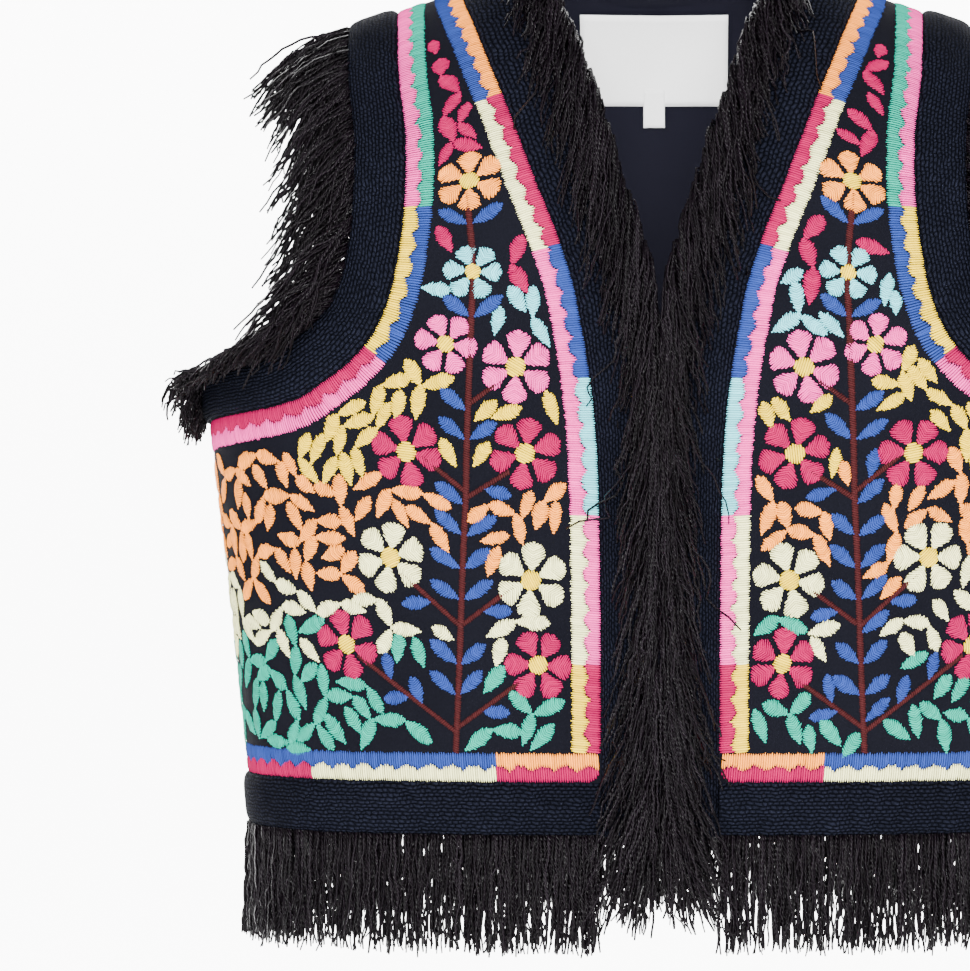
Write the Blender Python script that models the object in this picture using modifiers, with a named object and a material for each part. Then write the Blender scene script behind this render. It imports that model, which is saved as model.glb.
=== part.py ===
# A cropped open vest with bands and fringe, worn over a general figure that isn't built.
# Metres, +Z up. The front faces -Y, and the origin is between the shoulders.
import math
import random

import bmesh
import bpy
from mathutils import Vector

COLLECTION = "fringed_vest"

# Heights, from the shoulder line down.
CHEST_Z = -0.170
ARMHOLE_SEAM_Z = -0.215
HEM_SEAM_Z = -0.377
HEM_Z = -0.401

# The form that fills the vest: a squarish oval below the chest, leaning in to the shoulder line above it.
SQUARENESS = 2.7
QUARTER_STEPS = 400
LEAN_RADIUS = 0.170
TOP_RISE = LEAN_RADIUS * math.pi / 2
NECK_POINT = 0.058
NECK_POINT_Z = 0.004
NECK_SLOPE = 0.19
SHOULDER_SLOPE = 0.37
# height, half width, front depth, back depth
FORM = (
    (-0.470, 0.188, 0.092, 0.090),
    (-0.401, 0.191, 0.095, 0.092),
    (-0.355, 0.195, 0.098, 0.094),
    (-0.308, 0.200, 0.102, 0.097),
    (-0.263, 0.205, 0.105, 0.100),
    (-0.216, 0.2105, 0.106, 0.103),
    (-0.170, 0.213, 0.104, 0.104),
)
# The largest folds. round, rise, slant (across for each length up), half length, half width, depth
FOLDS = (
    (-0.62, -0.185, 0.10, 0.060, 0.026, 0.0022),
    (0.55, -0.195, -0.15, 0.055, 0.030, 0.0026),
    (-0.90, -0.085, -0.40, 0.050, 0.026, -0.0026),
    (0.88, -0.100, 0.35, 0.045, 0.028, -0.0022),
    (-1.36, -0.150, 0.12, 0.080, 0.030, 0.0040),
    (-1.66, -0.180, 0.05, 0.060, 0.026, -0.0030),
    (1.44, -0.165, -0.10, 0.070, 0.034, 0.0036),
    (1.78, -0.120, 0.20, 0.090, 0.030, -0.0026),
    (-1.50, 0.020, -0.30, 0.050, 0.026, -0.0026),
    (1.48, 0.010, 0.30, 0.055, 0.028, -0.0030),
)
FOLD_SPAN = 0.25  # about the length of a quarter of the form's girth

# Outlines on the form. across, height; no height is the shoulder line
FRONT_EDGE = (
    (0.0045, HEM_Z),
    (0.0045, -0.300),
    (0.0045, -0.200),
    (0.0050, -0.163),
    (0.0085, -0.138),
    (0.0175, -0.108),
    (0.0275, -0.076),
    (0.0385, -0.043),
    (0.0510, -0.013),
    (NECK_POINT, None),
)
FRONT_SEAM = (
    (0.0265, HEM_Z),
    (0.0265, -0.300),
    (0.0285, -0.220),
    (0.0365, -0.163),
    (0.0450, -0.133),
    (0.0560, -0.105),
    (0.0670, -0.076),
    (0.0805, -0.043),
    (0.0910, -0.018),
    (0.0940, None),
)
ARMHOLE_SEAM_FRONT = (
    (None, ARMHOLE_SEAM_Z),
    (0.177, -0.2070),
    (0.151, -0.1950),
    (0.132, -0.1780),
    (0.123, -0.1600),
    (0.118, -0.1370),
    (0.1155, -0.1130),
    (0.116, -0.0830),
    (0.1205, -0.0500),
    (0.124, None),
)
ARMHOLE_EDGE_FRONT = (
    (None, -0.192),
    (0.189, -0.1880),
    (0.167, -0.1770),
    (0.151, -0.1630),
    (0.1435, -0.1460),
    (0.140, -0.1260),
    (0.139, -0.1050),
    (0.140, -0.0800),
    (0.144, -0.0520),
    (0.147, None),
)
ARMHOLE_SEAM_BACK = (
    (None, ARMHOLE_SEAM_Z),
    (0.181, -0.2070),
    (0.158, -0.1920),
    (0.142, -0.1730),
    (0.134, -0.1500),
    (0.129, -0.1250),
    (0.127, -0.1000),
    (0.127, -0.0750),
    (0.126, -0.0520),
    (0.124, None),
)
ARMHOLE_EDGE_BACK = (
    (None, -0.192),
    (0.193, -0.1860),
    (0.175, -0.1730),
    (0.161, -0.1560),
    (0.154, -0.1360),
    (0.151, -0.1150),
    (0.150, -0.0940),
    (0.150, -0.0730),
    (0.149, -0.0520),
    (0.147, None),
)
NECK_EDGE_BACK = (
    (0.0, -0.0080),
    (0.020, -0.0065),
    (0.040, -0.0010),
    (0.053, 0.0035),
    (NECK_POINT, None),
)
NECK_SEAM_BACK = (
    (0.0, -0.0265),
    (0.028, -0.0245),
    (0.058, -0.0180),
    (0.083, -0.0100),
    (0.0940, None),
)

# How finely the panels are laid out.
LOW_ROWS = 8
HIGH_ROWS = 16
BAND_ROWS = 2
NECK_ROWS = 5
COLUMNS = (0.0, 0.16, 0.32, 0.47, 0.61, 0.73, 0.83, 0.92, 1.0)
OUTLINE_STEPS = 24
ROW_SAG = 0.026
SAG_ROWS = 7.0

# Thicknesses and gaps.
WALL = 0.0020
LINING_WALL = 0.0010
SEAM_GAP = 0.0004
BAND_GAP = 0.0005
BAND_HEIGHT = 0.0036
BAND_SHOULDER = 0.0024
BAND_INSET = 0.0016
LINING_LOWEST = 12

# Labels inside the back neck.
LABEL_WIDTH = 0.073
LABEL_TOP = -0.0115
LABEL_BOTTOM = -0.0540
LABEL_WALL = 0.0006
LABEL_OFF_LINING = 0.0010
TAG_OFF_LABEL = 0.0009
TAG_WIDTH = 0.011
TAG_TOP = -0.0460
TAG_BOTTOM = -0.0640
LABELS_OFF_CENTRE = -0.003

# Fringe.
STRIP_GAP = 0.0005
STRIP_WIDTH = 0.0030
STRIP_INNER = -0.0010
STRIP_OUTER = 0.0030
LOCK_SHARE = 0.58
HEM_LOCKS = 3
HEM_FRINGE = 0.051
FRONT_FRINGE = 0.052
FRONT_SPREADS = (0.0165, 0.0050)
FRONT_LIFTS = (0.0108, 0.0162)
NECK_FRINGE = 0.046
NECK_SPREADS = (0.0030, -0.0030)
NECK_LIFTS = (0.0100, 0.0142)
SEED = 29
# The fall of the armhole's fringe, from the side seam over the front to the shoulder line.
# along, outward, drop, lift off the body
ARMHOLE_FALL = (
    (0.00, 0.003, 0.032, 0.0100),
    (0.12, 0.016, 0.030, 0.0135),
    (0.26, 0.038, 0.027, 0.0170),
    (0.42, 0.046, 0.034, 0.0140),
    (0.70, 0.038, 0.042, 0.0100),
    (1.00, 0.045, 0.036, 0.0075),
)

# name of the finish: colour, roughness
FINISHES = {
    "ground_cloth": ((0.013, 0.016, 0.025, 1.0), 0.85),
    "band_weave": ((0.009, 0.013, 0.022, 1.0), 0.90),
    "fringe_yarn": ((0.011, 0.009, 0.011, 1.0), 0.60),
    "lining_cloth": ((0.016, 0.018, 0.028, 1.0), 0.55),
    "label_cloth": ((0.84, 0.84, 0.84, 1.0), 0.70),
}


def clear_scene():
    for item in list(bpy.data.objects):
        bpy.data.objects.remove(item, do_unlink=True)


def make_finish(name):
    colour, roughness = FINISHES[name]
    finish = bpy.data.materials.new(name)
    finish.use_nodes = True
    shader = finish.node_tree.nodes["Principled BSDF"]
    shader.inputs["Base Color"].default_value = colour
    shader.inputs["Roughness"].default_value = roughness
    shader.inputs["Metallic"].default_value = 0.0
    return finish


def read_table(rows, at, column):
    # A smooth reading between the rows of a table whose first column rises.
    last = len(rows) - 1
    i = 0
    while i < last - 1 and at > rows[i + 1][0]:
        i += 1
    before = rows[max(i - 1, 0)]
    low = rows[i]
    high = rows[i + 1]
    after = rows[min(i + 2, last)]
    span = high[0] - low[0]
    f = min(max((at - low[0]) / span, 0.0), 1.0)
    rise_low = (high[column] - before[column]) / (high[0] - before[0]) * span
    rise_high = (after[column] - low[column]) / (after[0] - low[0]) * span
    share = f * f * (3 - 2 * f)
    bend_low = f * (1 - f) * (1 - f)
    bend_high = f * f * (f - 1)
    return low[column] * (1 - share) + high[column] * share + rise_low * bend_low + rise_high * bend_high


def signed_power(value, power):
    return math.copysign(abs(value) ** power, value)


def quarter_lengths():
    # The share of a quarter's girth that lies before each step of its angle.
    _, width, depth, _ = FORM[-2]
    lengths = [0.0]
    last = (0.0, depth)
    for step in range(1, QUARTER_STEPS + 1):
        angle = math.pi / 2 * step / QUARTER_STEPS
        x = width * math.sin(angle) ** (2 / SQUARENESS)
        y = depth * max(math.cos(angle), 0.0) ** (2 / SQUARENESS)
        lengths.append(lengths[-1] + math.hypot(x - last[0], y - last[1]))
        last = (x, y)
    return [length / lengths[-1] for length in lengths]


QUARTER = quarter_lengths()


def angle_of(quarter):
    # The angle on the oval at a share, from 0 to 1, of a quarter's girth.
    low = 0
    high = QUARTER_STEPS
    while high - low > 1:
        middle = (low + high) // 2
        if QUARTER[middle] > quarter:
            high = middle
        else:
            low = middle
    part = (quarter - QUARTER[low]) / (QUARTER[high] - QUARTER[low])
    return math.pi / 2 * (low + part) / QUARTER_STEPS


def quarter_of(angle):
    step = min(angle / (math.pi / 2) * QUARTER_STEPS, QUARTER_STEPS - 1e-9)
    low = int(step)
    return QUARTER[low] + (QUARTER[low + 1] - QUARTER[low]) * (step - low)


def wrapped(around):
    return (around + 2) % 4 - 2


def turn_of(around):
    # around is 0 at centre front, 1 at the left side seam, -1 at the right one and 2 at centre back.
    around = wrapped(around)
    size = abs(around)
    if size <= 1:
        turn = angle_of(size)
    else:
        turn = math.pi - angle_of(2 - size)
    return math.copysign(turn, around)


def shoulder_line(across):
    past = abs(across) - NECK_POINT
    return NECK_POINT_Z - (SHOULDER_SLOPE if past > 0 else NECK_SLOPE) * past


def fold_swell(around, rise):
    swell = 0.0
    for centre, height, slant, half_length, half_width, depth in FOLDS:
        up = rise - height
        side = wrapped(around - centre) * FOLD_SPAN - slant * up
        swell += depth * math.exp(-((up / half_length) ** 2) - (side / half_width) ** 2)
    return swell


def form_point(around, rise):
    # rise is the length up the form's profile from the chest line.
    lean = 1.0
    level = 0.0
    height = CHEST_Z + rise
    if rise > 0:
        lean = math.cos(rise / LEAN_RADIUS)
        level = math.sin(rise / LEAN_RADIUS)
        height = CHEST_Z
    turn = turn_of(around)
    half_width = read_table(FORM, height, 1)
    depth = read_table(FORM, height, 2 if math.cos(turn) > 0 else 3)
    swell = 1 + fold_swell(around, rise) / depth
    x = half_width * signed_power(math.sin(turn), 2 / SQUARENESS)
    y = -depth * signed_power(math.cos(turn), 2 / SQUARENESS) * lean * swell
    if rise > 0:
        height = CHEST_Z + (shoulder_line(x) - CHEST_Z) * level
    return Vector((x, y, height))


def form_normal(around, rise):
    small_turn = 0.004
    small_rise = 0.0008
    side = form_point(around + small_turn, rise) - form_point(around - small_turn, rise)
    up = form_point(around, rise + small_rise) - form_point(around, rise - small_rise)
    return side.cross(up).normalized()


def off_form(spot, distance):
    around, rise = spot
    return form_point(around, rise) + form_normal(around, rise) * distance


def spot_at(across, height, back):
    # The place on the form, on the wearer's left, of a point seen from the front.
    if across is None:
        return 1.0, height - CHEST_Z
    rise = TOP_RISE
    level = CHEST_Z
    if height is not None:
        if height <= CHEST_Z:
            rise = height - CHEST_Z
            level = height
        else:
            share = (height - CHEST_Z) / (shoulder_line(across) - CHEST_Z)
            rise = LEAN_RADIUS * math.asin(min(share, 1.0))
    half_width = read_table(FORM, level, 1)
    quarter = quarter_of(math.asin(min(across / half_width, 1.0) ** (SQUARENESS / 2)))
    return (2 - quarter if back else quarter), rise


def curve_through(spots):
    # A smooth curve through the spots, as closely spaced spots with the length up to each.
    line = []
    for i in range(len(spots) - 1):
        before = spots[max(i - 1, 0)]
        low = spots[i]
        high = spots[i + 1]
        after = spots[min(i + 2, len(spots) - 1)]
        for step in range(OUTLINE_STEPS):
            f = step / OUTLINE_STEPS
            line.append(tuple(blend_spot(before, low, high, after, f, k) for k in (0, 1)))
    line.append(spots[-1])
    lengths = [0.0]
    for i in range(1, len(line)):
        lengths.append(lengths[-1] + (form_point(*line[i]) - form_point(*line[i - 1])).length)
    return line, lengths


def blend_spot(before, low, high, after, f, k):
    slope_low = (high[k] - before[k]) / 2
    slope_high = (after[k] - low[k]) / 2
    share = f * f * (3 - 2 * f)
    bend = slope_low * f * (1 - f) * (1 - f) + slope_high * f * f * (f - 1)
    return low[k] * (1 - share) + high[k] * share + bend


def spots_along(curve, start, end, count):
    # count + 1 spots at even lengths between two shares of the curve.
    line, lengths = curve
    spots = []
    i = 0
    for step in range(count + 1):
        target = lengths[-1] * (start + (end - start) * step / count)
        while i < len(line) - 2 and lengths[i + 1] < target:
            i += 1
        f = (target - lengths[i]) / (lengths[i + 1] - lengths[i])
        spots.append(tuple(line[i][k] + (line[i + 1][k] - line[i][k]) * f for k in (0, 1)))
    return spots


def outline(table, back=False):
    return curve_through([spot_at(across, height, back) for across, height in table])


def between(a, b, f):
    return a[0] + (b[0] - a[0]) * f, a[1] + (b[1] - a[1]) * f


def on_side(spot, side):
    return spot[0] * side, spot[1]


def share_at_height(curve, height):
    # The share of a curve's length at which it passes a height below the chest.
    line, lengths = curve
    for i in range(1, len(line)):
        if line[i][1] >= height - CHEST_Z - 1e-9:
            return lengths[i] / lengths[-1]
    return 1.0


def side_spots(top, count, first):
    low = first - CHEST_Z
    high = top - CHEST_Z
    return [(1.0, low + (high - low) * step / count) for step in range(count + 1)]


def armhole_rings(back):
    # Rings of three spots, from the band's seam to the armhole's edge, from the side seam up.
    seam = outline(ARMHOLE_SEAM_BACK if back else ARMHOLE_SEAM_FRONT, back)
    edge = outline(ARMHOLE_EDGE_BACK if back else ARMHOLE_EDGE_FRONT, back)
    inner = spots_along(seam, 0, 1, HIGH_ROWS)
    outer = spots_along(edge, 0, 1, HIGH_ROWS)
    return [[a, between(a, b, 0.5), b] for a, b in zip(inner, outer)]


def part_seams(spot):
    # Moves a spot that lies on a seam line back by half the seam's gap.
    around, rise = spot
    step = SEAM_GAP / FOLD_SPAN / 2 * 1.2
    if abs(around - 1.0) < 1e-6:
        around = 1.0 - step
    if abs(rise - TOP_RISE) < 1e-6:
        rise = TOP_RISE - SEAM_GAP * 1.6
    return around, rise


def part_seams_back(spot):
    around, rise = part_seams(spot)
    if abs(spot[0] - 1.0) < 1e-6:
        around = 2.0 - around
    return around, rise


def sagging_row(first, last, index):
    # A row of spots that dips below the armhole, so that it meets the band's seam at an open angle.
    away = min(abs(index - BAND_ROWS - LOW_ROWS) / SAG_ROWS, 1.0)
    sag = ROW_SAG * math.cos(math.pi / 2 * away) ** 2
    row = []
    for f in COLUMNS:
        around, rise = between(first, last, f)
        row.append((around, rise - sag * 4 * f * (1 - f)))
    return row


def front_rows():
    # Rows of spots from the front edge to the side seam or the armhole band's seam, hem first.
    edge = outline(FRONT_EDGE)
    seam = outline(FRONT_SEAM)
    edge_start = share_at_height(edge, HEM_SEAM_Z)
    seam_start = share_at_height(seam, HEM_SEAM_Z)
    edge_spots = spots_along(edge, 0, edge_start, BAND_ROWS)[:-1]
    seam_spots = spots_along(seam, 0, seam_start, BAND_ROWS)[:-1]
    edge_spots += spots_along(edge, edge_start, 1, LOW_ROWS + HIGH_ROWS)
    seam_spots += spots_along(seam, seam_start, 1, LOW_ROWS + HIGH_ROWS)
    outer = side_spots(HEM_SEAM_Z, BAND_ROWS, HEM_Z)[:-1]
    outer += side_spots(ARMHOLE_SEAM_Z, LOW_ROWS, HEM_SEAM_Z)[:-1]
    outer += [ring[0] for ring in armhole_rings(False)]
    rows = []
    for index, (first, inner, last) in enumerate(zip(edge_spots, seam_spots, outer)):
        rows.append([first, between(first, inner, 0.5)] + sagging_row(inner, last, index))
    return rows


def back_rows():
    # Rows of spots from centre back, or the neck band's seam, to the side seam or the armhole's.
    seam = outline(NECK_SEAM_BACK, True)
    neck = spots_along(seam, 0, 1, NECK_ROWS)
    top = neck[0][1]
    inner = [(2.0, HEM_Z - CHEST_Z + (HEM_SEAM_Z - HEM_Z) * i / BAND_ROWS) for i in range(BAND_ROWS)]
    straight = LOW_ROWS + HIGH_ROWS - NECK_ROWS
    low = HEM_SEAM_Z - CHEST_Z
    inner += [(2.0, low + (top - low) * i / straight) for i in range(straight)]
    inner += neck
    outer = side_spots(HEM_SEAM_Z, BAND_ROWS, HEM_Z)[:-1]
    outer += side_spots(ARMHOLE_SEAM_Z, LOW_ROWS, HEM_SEAM_Z)[:-1]
    outer += [ring[0] for ring in armhole_rings(True)]
    return [sagging_row(a, b, index) for index, (a, b) in enumerate(zip(inner, outer))]


def neck_rings():
    # Rings of three spots from the neck band's seam to the neck edge, from centre back outward.
    inner = spots_along(outline(NECK_SEAM_BACK, True), 0, 1, NECK_ROWS)
    outer = spots_along(outline(NECK_EDGE_BACK, True), 0, 1, NECK_ROWS)
    return [[a, between(a, b, 0.5), b] for a, b in zip(inner, outer)]


def new_object(name, bm, finish):
    mesh = bpy.data.meshes.new(name)
    bmesh.ops.recalc_face_normals(bm, faces=bm.faces)
    bm.to_mesh(mesh)
    bm.free()
    mesh.materials.append(bpy.data.materials[finish])
    item = bpy.data.objects.new(name, mesh)
    bpy.data.collections[COLLECTION].objects.link(item)
    return item


def add_sheet(bm, rows, distance, side, parting):
    # Two triangles a cell, cut the same way in every piece that shares the spots.
    grid = []
    for row in rows:
        spots = [on_side(parting(spot), side) for spot in row]
        grid.append([bm.verts.new(off_form(spot, distance)) for spot in spots])
    for low, high in zip(grid, grid[1:]):
        for i in range(len(low) - 1):
            bm.faces.new((low[i], low[i + 1], high[i + 1]))
            bm.faces.new((low[i], high[i + 1], high[i]))


def make_wall(name, blocks, distance, thickness, sides, parting, finish):
    # A cloth wall: an open sheet through the blocks' spots, given its thickness.
    bm = bmesh.new()
    for side in sides:
        for rows in blocks:
            add_sheet(bm, rows, distance, side, parting)
    bmesh.ops.remove_doubles(bm, verts=bm.verts, dist=0.00005)
    wall = new_object(name, bm, finish)
    solid = wall.modifiers.new("thickness", "SOLIDIFY")
    solid.thickness = thickness
    solid.offset = 0
    return wall


def sweep(name, sections, closed, finish, turned=()):
    # A closed skin over sections of like count. A closed sweep joins its last section to its first.
    # The spans in turned run against the panel's rows, so their cells are cut the other way.
    bm = bmesh.new()
    rings = [[bm.verts.new(point) for point in section] for section in sections]
    count = len(rings[0])
    following = rings[1:] + rings[:1] if closed else rings[1:]
    for span, (ring, after) in enumerate(zip(rings, following)):
        for i in range(count):
            j = (i + 1) % count
            if span in turned:
                bm.faces.new((ring[i], ring[j], after[i]))
                bm.faces.new((ring[j], after[j], after[i]))
            else:
                bm.faces.new((ring[i], ring[j], after[j]))
                bm.faces.new((ring[i], after[j], after[i]))
    if not closed:
        bm.faces.new(rings[0])
        bm.faces.new(rings[-1])
    return new_object(name, bm, finish)


def band_section(spots):
    # A puffed band over three spots: flat beneath, low at its edges, highest in the middle.
    foot = WALL / 2 + BAND_GAP
    first, middle, last = [form_point(*spot) for spot in spots]
    normals = [form_normal(*spot) for spot in spots]
    inset = (last - first).normalized() * BAND_INSET
    return (
        first + normals[0] * foot,
        middle + normals[1] * foot,
        last + normals[2] * foot,
        last + normals[2] * (foot + BAND_SHOULDER) - inset,
        middle + normals[1] * (foot + BAND_HEIGHT),
        first + normals[0] * (foot + BAND_SHOULDER) + inset,
    )


def armhole_loop(side):
    # The armhole's rings from the side seam over the front and the shoulder, and down the back.
    front = armhole_rings(False)
    back = armhole_rings(True)
    loop = front + back[-2:0:-1]
    return [[on_side(spot, side) for spot in ring] for ring in loop]


def front_band_rings(side):
    rings = []
    for row in front_rows():
        ring = [on_side(part_seams(spot), side) for spot in row[:3]]
        rings.append(ring)
    return rings


def hem_rings():
    # The hem's rings from the right front band round the back to the left one, edge first.
    front = [column[2:] for column in front_rows()[: BAND_ROWS + 1]]
    back = back_rows()[: BAND_ROWS + 1]
    half = []
    for i in range(len(front[0])):
        half.append([front[k][i] for k in range(BAND_ROWS + 1)])
    for i in range(len(back[0]) - 2, -1, -1):
        half.append([back[k][i] for k in range(BAND_ROWS + 1)])
    right = [[on_side(spot, -1) for spot in ring] for ring in half]
    return right + half[-2::-1]


def hem_band_sections():
    # The hem band keeps clear of the front bands.
    sections = [band_section(ring) for ring in hem_rings()]
    for k, side in ((0, -1), (-1, 1)):
        shift = Vector((side * SEAM_GAP, 0, 0))
        sections[k] = tuple(point + shift for point in sections[k])
    return sections


def neck_band_rings():
    rings = [[part_seams_back(spot) for spot in ring] for ring in neck_rings()]
    right = [[(4 - around, rise) for around, rise in ring] for ring in rings]
    return right[:0:-1] + rings


def edge_frames(spots, inward, closed, level_ends=False):
    # For each spot of an edge: its point, the form's normal, and the way out of the cloth.
    # With level_ends the two ends point straight to the middle, along the shoulder seam.
    frames = []
    last = len(spots) - 1
    for i, spot in enumerate(spots):
        if closed:
            before = spots[i - 1]
            after = spots[(i + 1) % len(spots)]
        else:
            before = spots[max(i - 1, 0)]
            after = spots[min(i + 1, last)]
        along = form_point(*after) - form_point(*before)
        normal = form_normal(*spot)
        outward = along.cross(normal).normalized()
        point = form_point(*spot)
        if outward.dot(form_point(*inward[i]) - point) > 0:
            outward.negate()
        if level_ends and i in (0, last):
            outward = Vector((math.copysign(1, -point.x), 0, 0))
        frames.append((point, normal, outward))
    return frames


def strip_corners(frame):
    point, normal, outward = frame
    near = point + outward * STRIP_GAP
    far = point + outward * (STRIP_GAP + STRIP_WIDTH)
    return (
        near + normal * STRIP_INNER,
        near + normal * STRIP_OUTER,
        far + normal * STRIP_OUTER,
        far + normal * STRIP_INNER,
    )


def mixed(a, b, f):
    return tuple(p + (q - p) * f for p, q in zip(a, b))


def make_fringe(name, frames, closed, locks, face_side, fall):
    # A narrow strip along an edge, with tapering locks drawn out of every other face of one side.
    # fall gives a lock's path from its root: the points after it, and each one's half sizes.
    bm = bmesh.new()
    spans = len(frames) if closed else len(frames) - 1
    rings = []
    roots = []
    for i in range(spans):
        a = strip_corners(frames[i])
        b = strip_corners(frames[(i + 1) % len(frames)])
        for k in range(locks):
            start = (k + (1 - LOCK_SHARE) / 2) / locks
            end = (k + (1 + LOCK_SHARE) / 2) / locks
            if k == 0:
                rings.append(mixed(a, b, 0.0))
            roots.append((len(rings), i + (k + 0.5) / locks))
            rings.append(mixed(a, b, start))
            rings.append(mixed(a, b, end))
    if not closed:
        rings.append(strip_corners(frames[-1]))
    rings = [[bm.verts.new(point) for point in ring] for ring in rings]
    following = rings[1:] + rings[:1] if closed else rings[1:]
    root_faces = {}
    starts = {start for start, _ in roots}
    for i, (ring, after) in enumerate(zip(rings, following)):
        for j in range(4):
            k = (j + 1) % 4
            face = bm.faces.new((ring[j], ring[k], after[k], after[j]))
            if j == face_side and i in starts:
                root_faces[i] = face
    if not closed:
        bm.faces.new(rings[0])
        bm.faces.new(rings[-1])
    bmesh.ops.recalc_face_normals(bm, faces=bm.faces)
    for start, at in roots:
        draw_lock(bm, root_faces[start], at, len(frames), fall)
    return new_object(name, bm, "fringe_yarn")


def draw_lock(bm, face, at, count, fall):
    # Extrudes one face along the lock's path, turning each ring to face the path.
    centre = face.calc_center_median()
    normal = face.normal.copy()
    offsets = [vert.co - centre for vert in face.verts]
    along = (face.verts[2].co + face.verts[3].co - face.verts[0].co - face.verts[1].co).normalized()
    across = normal.cross(along)
    half_along = max(abs(offset.dot(along)) for offset in offsets)
    half_across = max(abs(offset.dot(across)) for offset in offsets)
    path, sizes, tip = fall(centre, normal, along, at, count)
    last = centre
    for k, (point, size) in enumerate(zip(path, sizes)):
        ahead = path[k + 1] if k + 1 < len(path) else tip
        turn = normal.rotation_difference(ahead - last)
        made = bmesh.ops.extrude_discrete_faces(bm, faces=[face])
        face = made["faces"][0]
        for vert, offset in zip(face.verts, offsets):
            reach = offset.dot(along) / half_along * size[0]
            breadth = offset.dot(across) / half_across * size[1]
            vert.co = point + turn @ (along * reach + across * breadth)
        last = point
    made = bmesh.ops.extrude_discrete_faces(bm, faces=[face])
    bmesh.ops.pointmerge(bm, verts=made["faces"][0].verts[:], merge_co=tip)


def hem_fall(centre, normal, along, at, count):
    sway = along * random.uniform(-0.0018, 0.0018)
    length = HEM_FRINGE * random.uniform(0.90, 1.06)
    out = Vector((centre.x, centre.y, 0)).normalized() * random.uniform(-0.0008, 0.0014)
    down = Vector((0, 0, -1))
    path = [centre + down * length * 0.55 + (sway + out) * 0.5]
    tip = centre + down * length + sway + out
    return path, [(0.0028, 0.0017)], tip


def fall_over(spots, side, length, spreads, lifts):
    # Locks that hang one over the other down the form, by turns nearer to and further from an edge.
    def fall(centre, normal, along, at, count):
        index = int(at)
        around, rise = between(spots[index], spots[index + 1], at - index)
        far = index % 2
        spread = (spreads[far] + random.uniform(-0.0006, 0.0006)) * side / FOLD_SPAN
        lift = lifts[far] + random.uniform(-0.0004, 0.0004)
        drop = length * random.uniform(0.93, 1.05)
        near = off_form((around + spread * 0.08, rise - drop * 0.04), lift * 0.72)
        middle = off_form((around + spread * 0.8, rise - drop * 0.52), lift)
        tip = off_form((around + spread, rise - drop), lift)
        return [near, middle], [(0.0015, 0.0022), (0.0012, 0.0024)], tip

    return fall


def armhole_fall(side):
    def fall(centre, normal, along, at, count):
        share = at / count * 2
        if share > 1:
            share = 2 - share
        out = read_table(ARMHOLE_FALL, share, 1) * random.uniform(0.94, 1.05)
        drop = read_table(ARMHOLE_FALL, share, 2) * random.uniform(0.94, 1.05)
        lift = read_table(ARMHOLE_FALL, share, 3)
        sideways = Vector((side, 0, 0))
        down = Vector((0, 0, -1))
        near = centre + normal * 0.0045 + sideways * out * 0.18 + down * drop * 0.03
        middle = centre + normal * lift * 0.75 + sideways * out * 0.66 + down * drop * 0.34
        tip = centre + normal * lift + sideways * out + down * drop
        return [near, middle], [(0.0026, 0.0014), (0.0022, 0.0012)], tip

    return fall


def make_label(name, width, top, bottom, off_lining):
    # A small cloth square on the inside of the back neck.
    rows = []
    for i in range(4):
        height = bottom + (top - bottom) * i / 3
        row = []
        for k in range(5):
            across = LABELS_OFF_CENTRE + width * (k / 4 - 0.5)
            around, rise = spot_at(abs(across), height, True)
            row.append((math.copysign(around, across), rise))
        rows.append(row)
    lining_face = WALL / 2 + BAND_GAP + LINING_WALL
    distance = -(lining_face + off_lining + LABEL_WALL / 2)
    make_wall(name, [rows], distance, LABEL_WALL, (1,), lambda spot: spot, "label_cloth")


def make_panels():
    front = front_rows()
    front_armhole = armhole_rings(False)
    for name, side in (("front_right", -1), ("front_left", 1)):
        make_wall(name, [front, front_armhole], 0, WALL, (side,), part_seams, "ground_cloth")
    blocks = [back_rows(), armhole_rings(True), neck_rings()]
    make_wall("back", blocks, 0, WALL, (1, -1), part_seams_back, "ground_cloth")
    inside = -(WALL / 2 + BAND_GAP + LINING_WALL / 2)
    lining = [back_rows()[LINING_LOWEST:], neck_rings()]
    make_wall("back_lining", lining, inside, LINING_WALL, (1, -1), part_seams_back, "lining_cloth")


def make_bands():
    behind = range(HIGH_ROWS, 2 * HIGH_ROWS)
    for name, side in (("armhole_band_right", -1), ("armhole_band_left", 1)):
        sweep(name, [band_section(ring) for ring in armhole_loop(side)], True, "band_weave", behind)
    for name, side in (("front_band_right", -1), ("front_band_left", 1)):
        sweep(name, [band_section(ring) for ring in front_band_rings(side)], False, "band_weave")
    columns = len(COLUMNS) - 1
    inward = list(range(columns, 2 * columns)) + list(range(3 * columns, 4 * columns))
    sweep("hem_band", hem_band_sections(), False, "band_weave", inward)
    neck = [band_section(ring) for ring in neck_band_rings()]
    sweep("neck_band", neck, False, "band_weave", range(NECK_ROWS))


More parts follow.
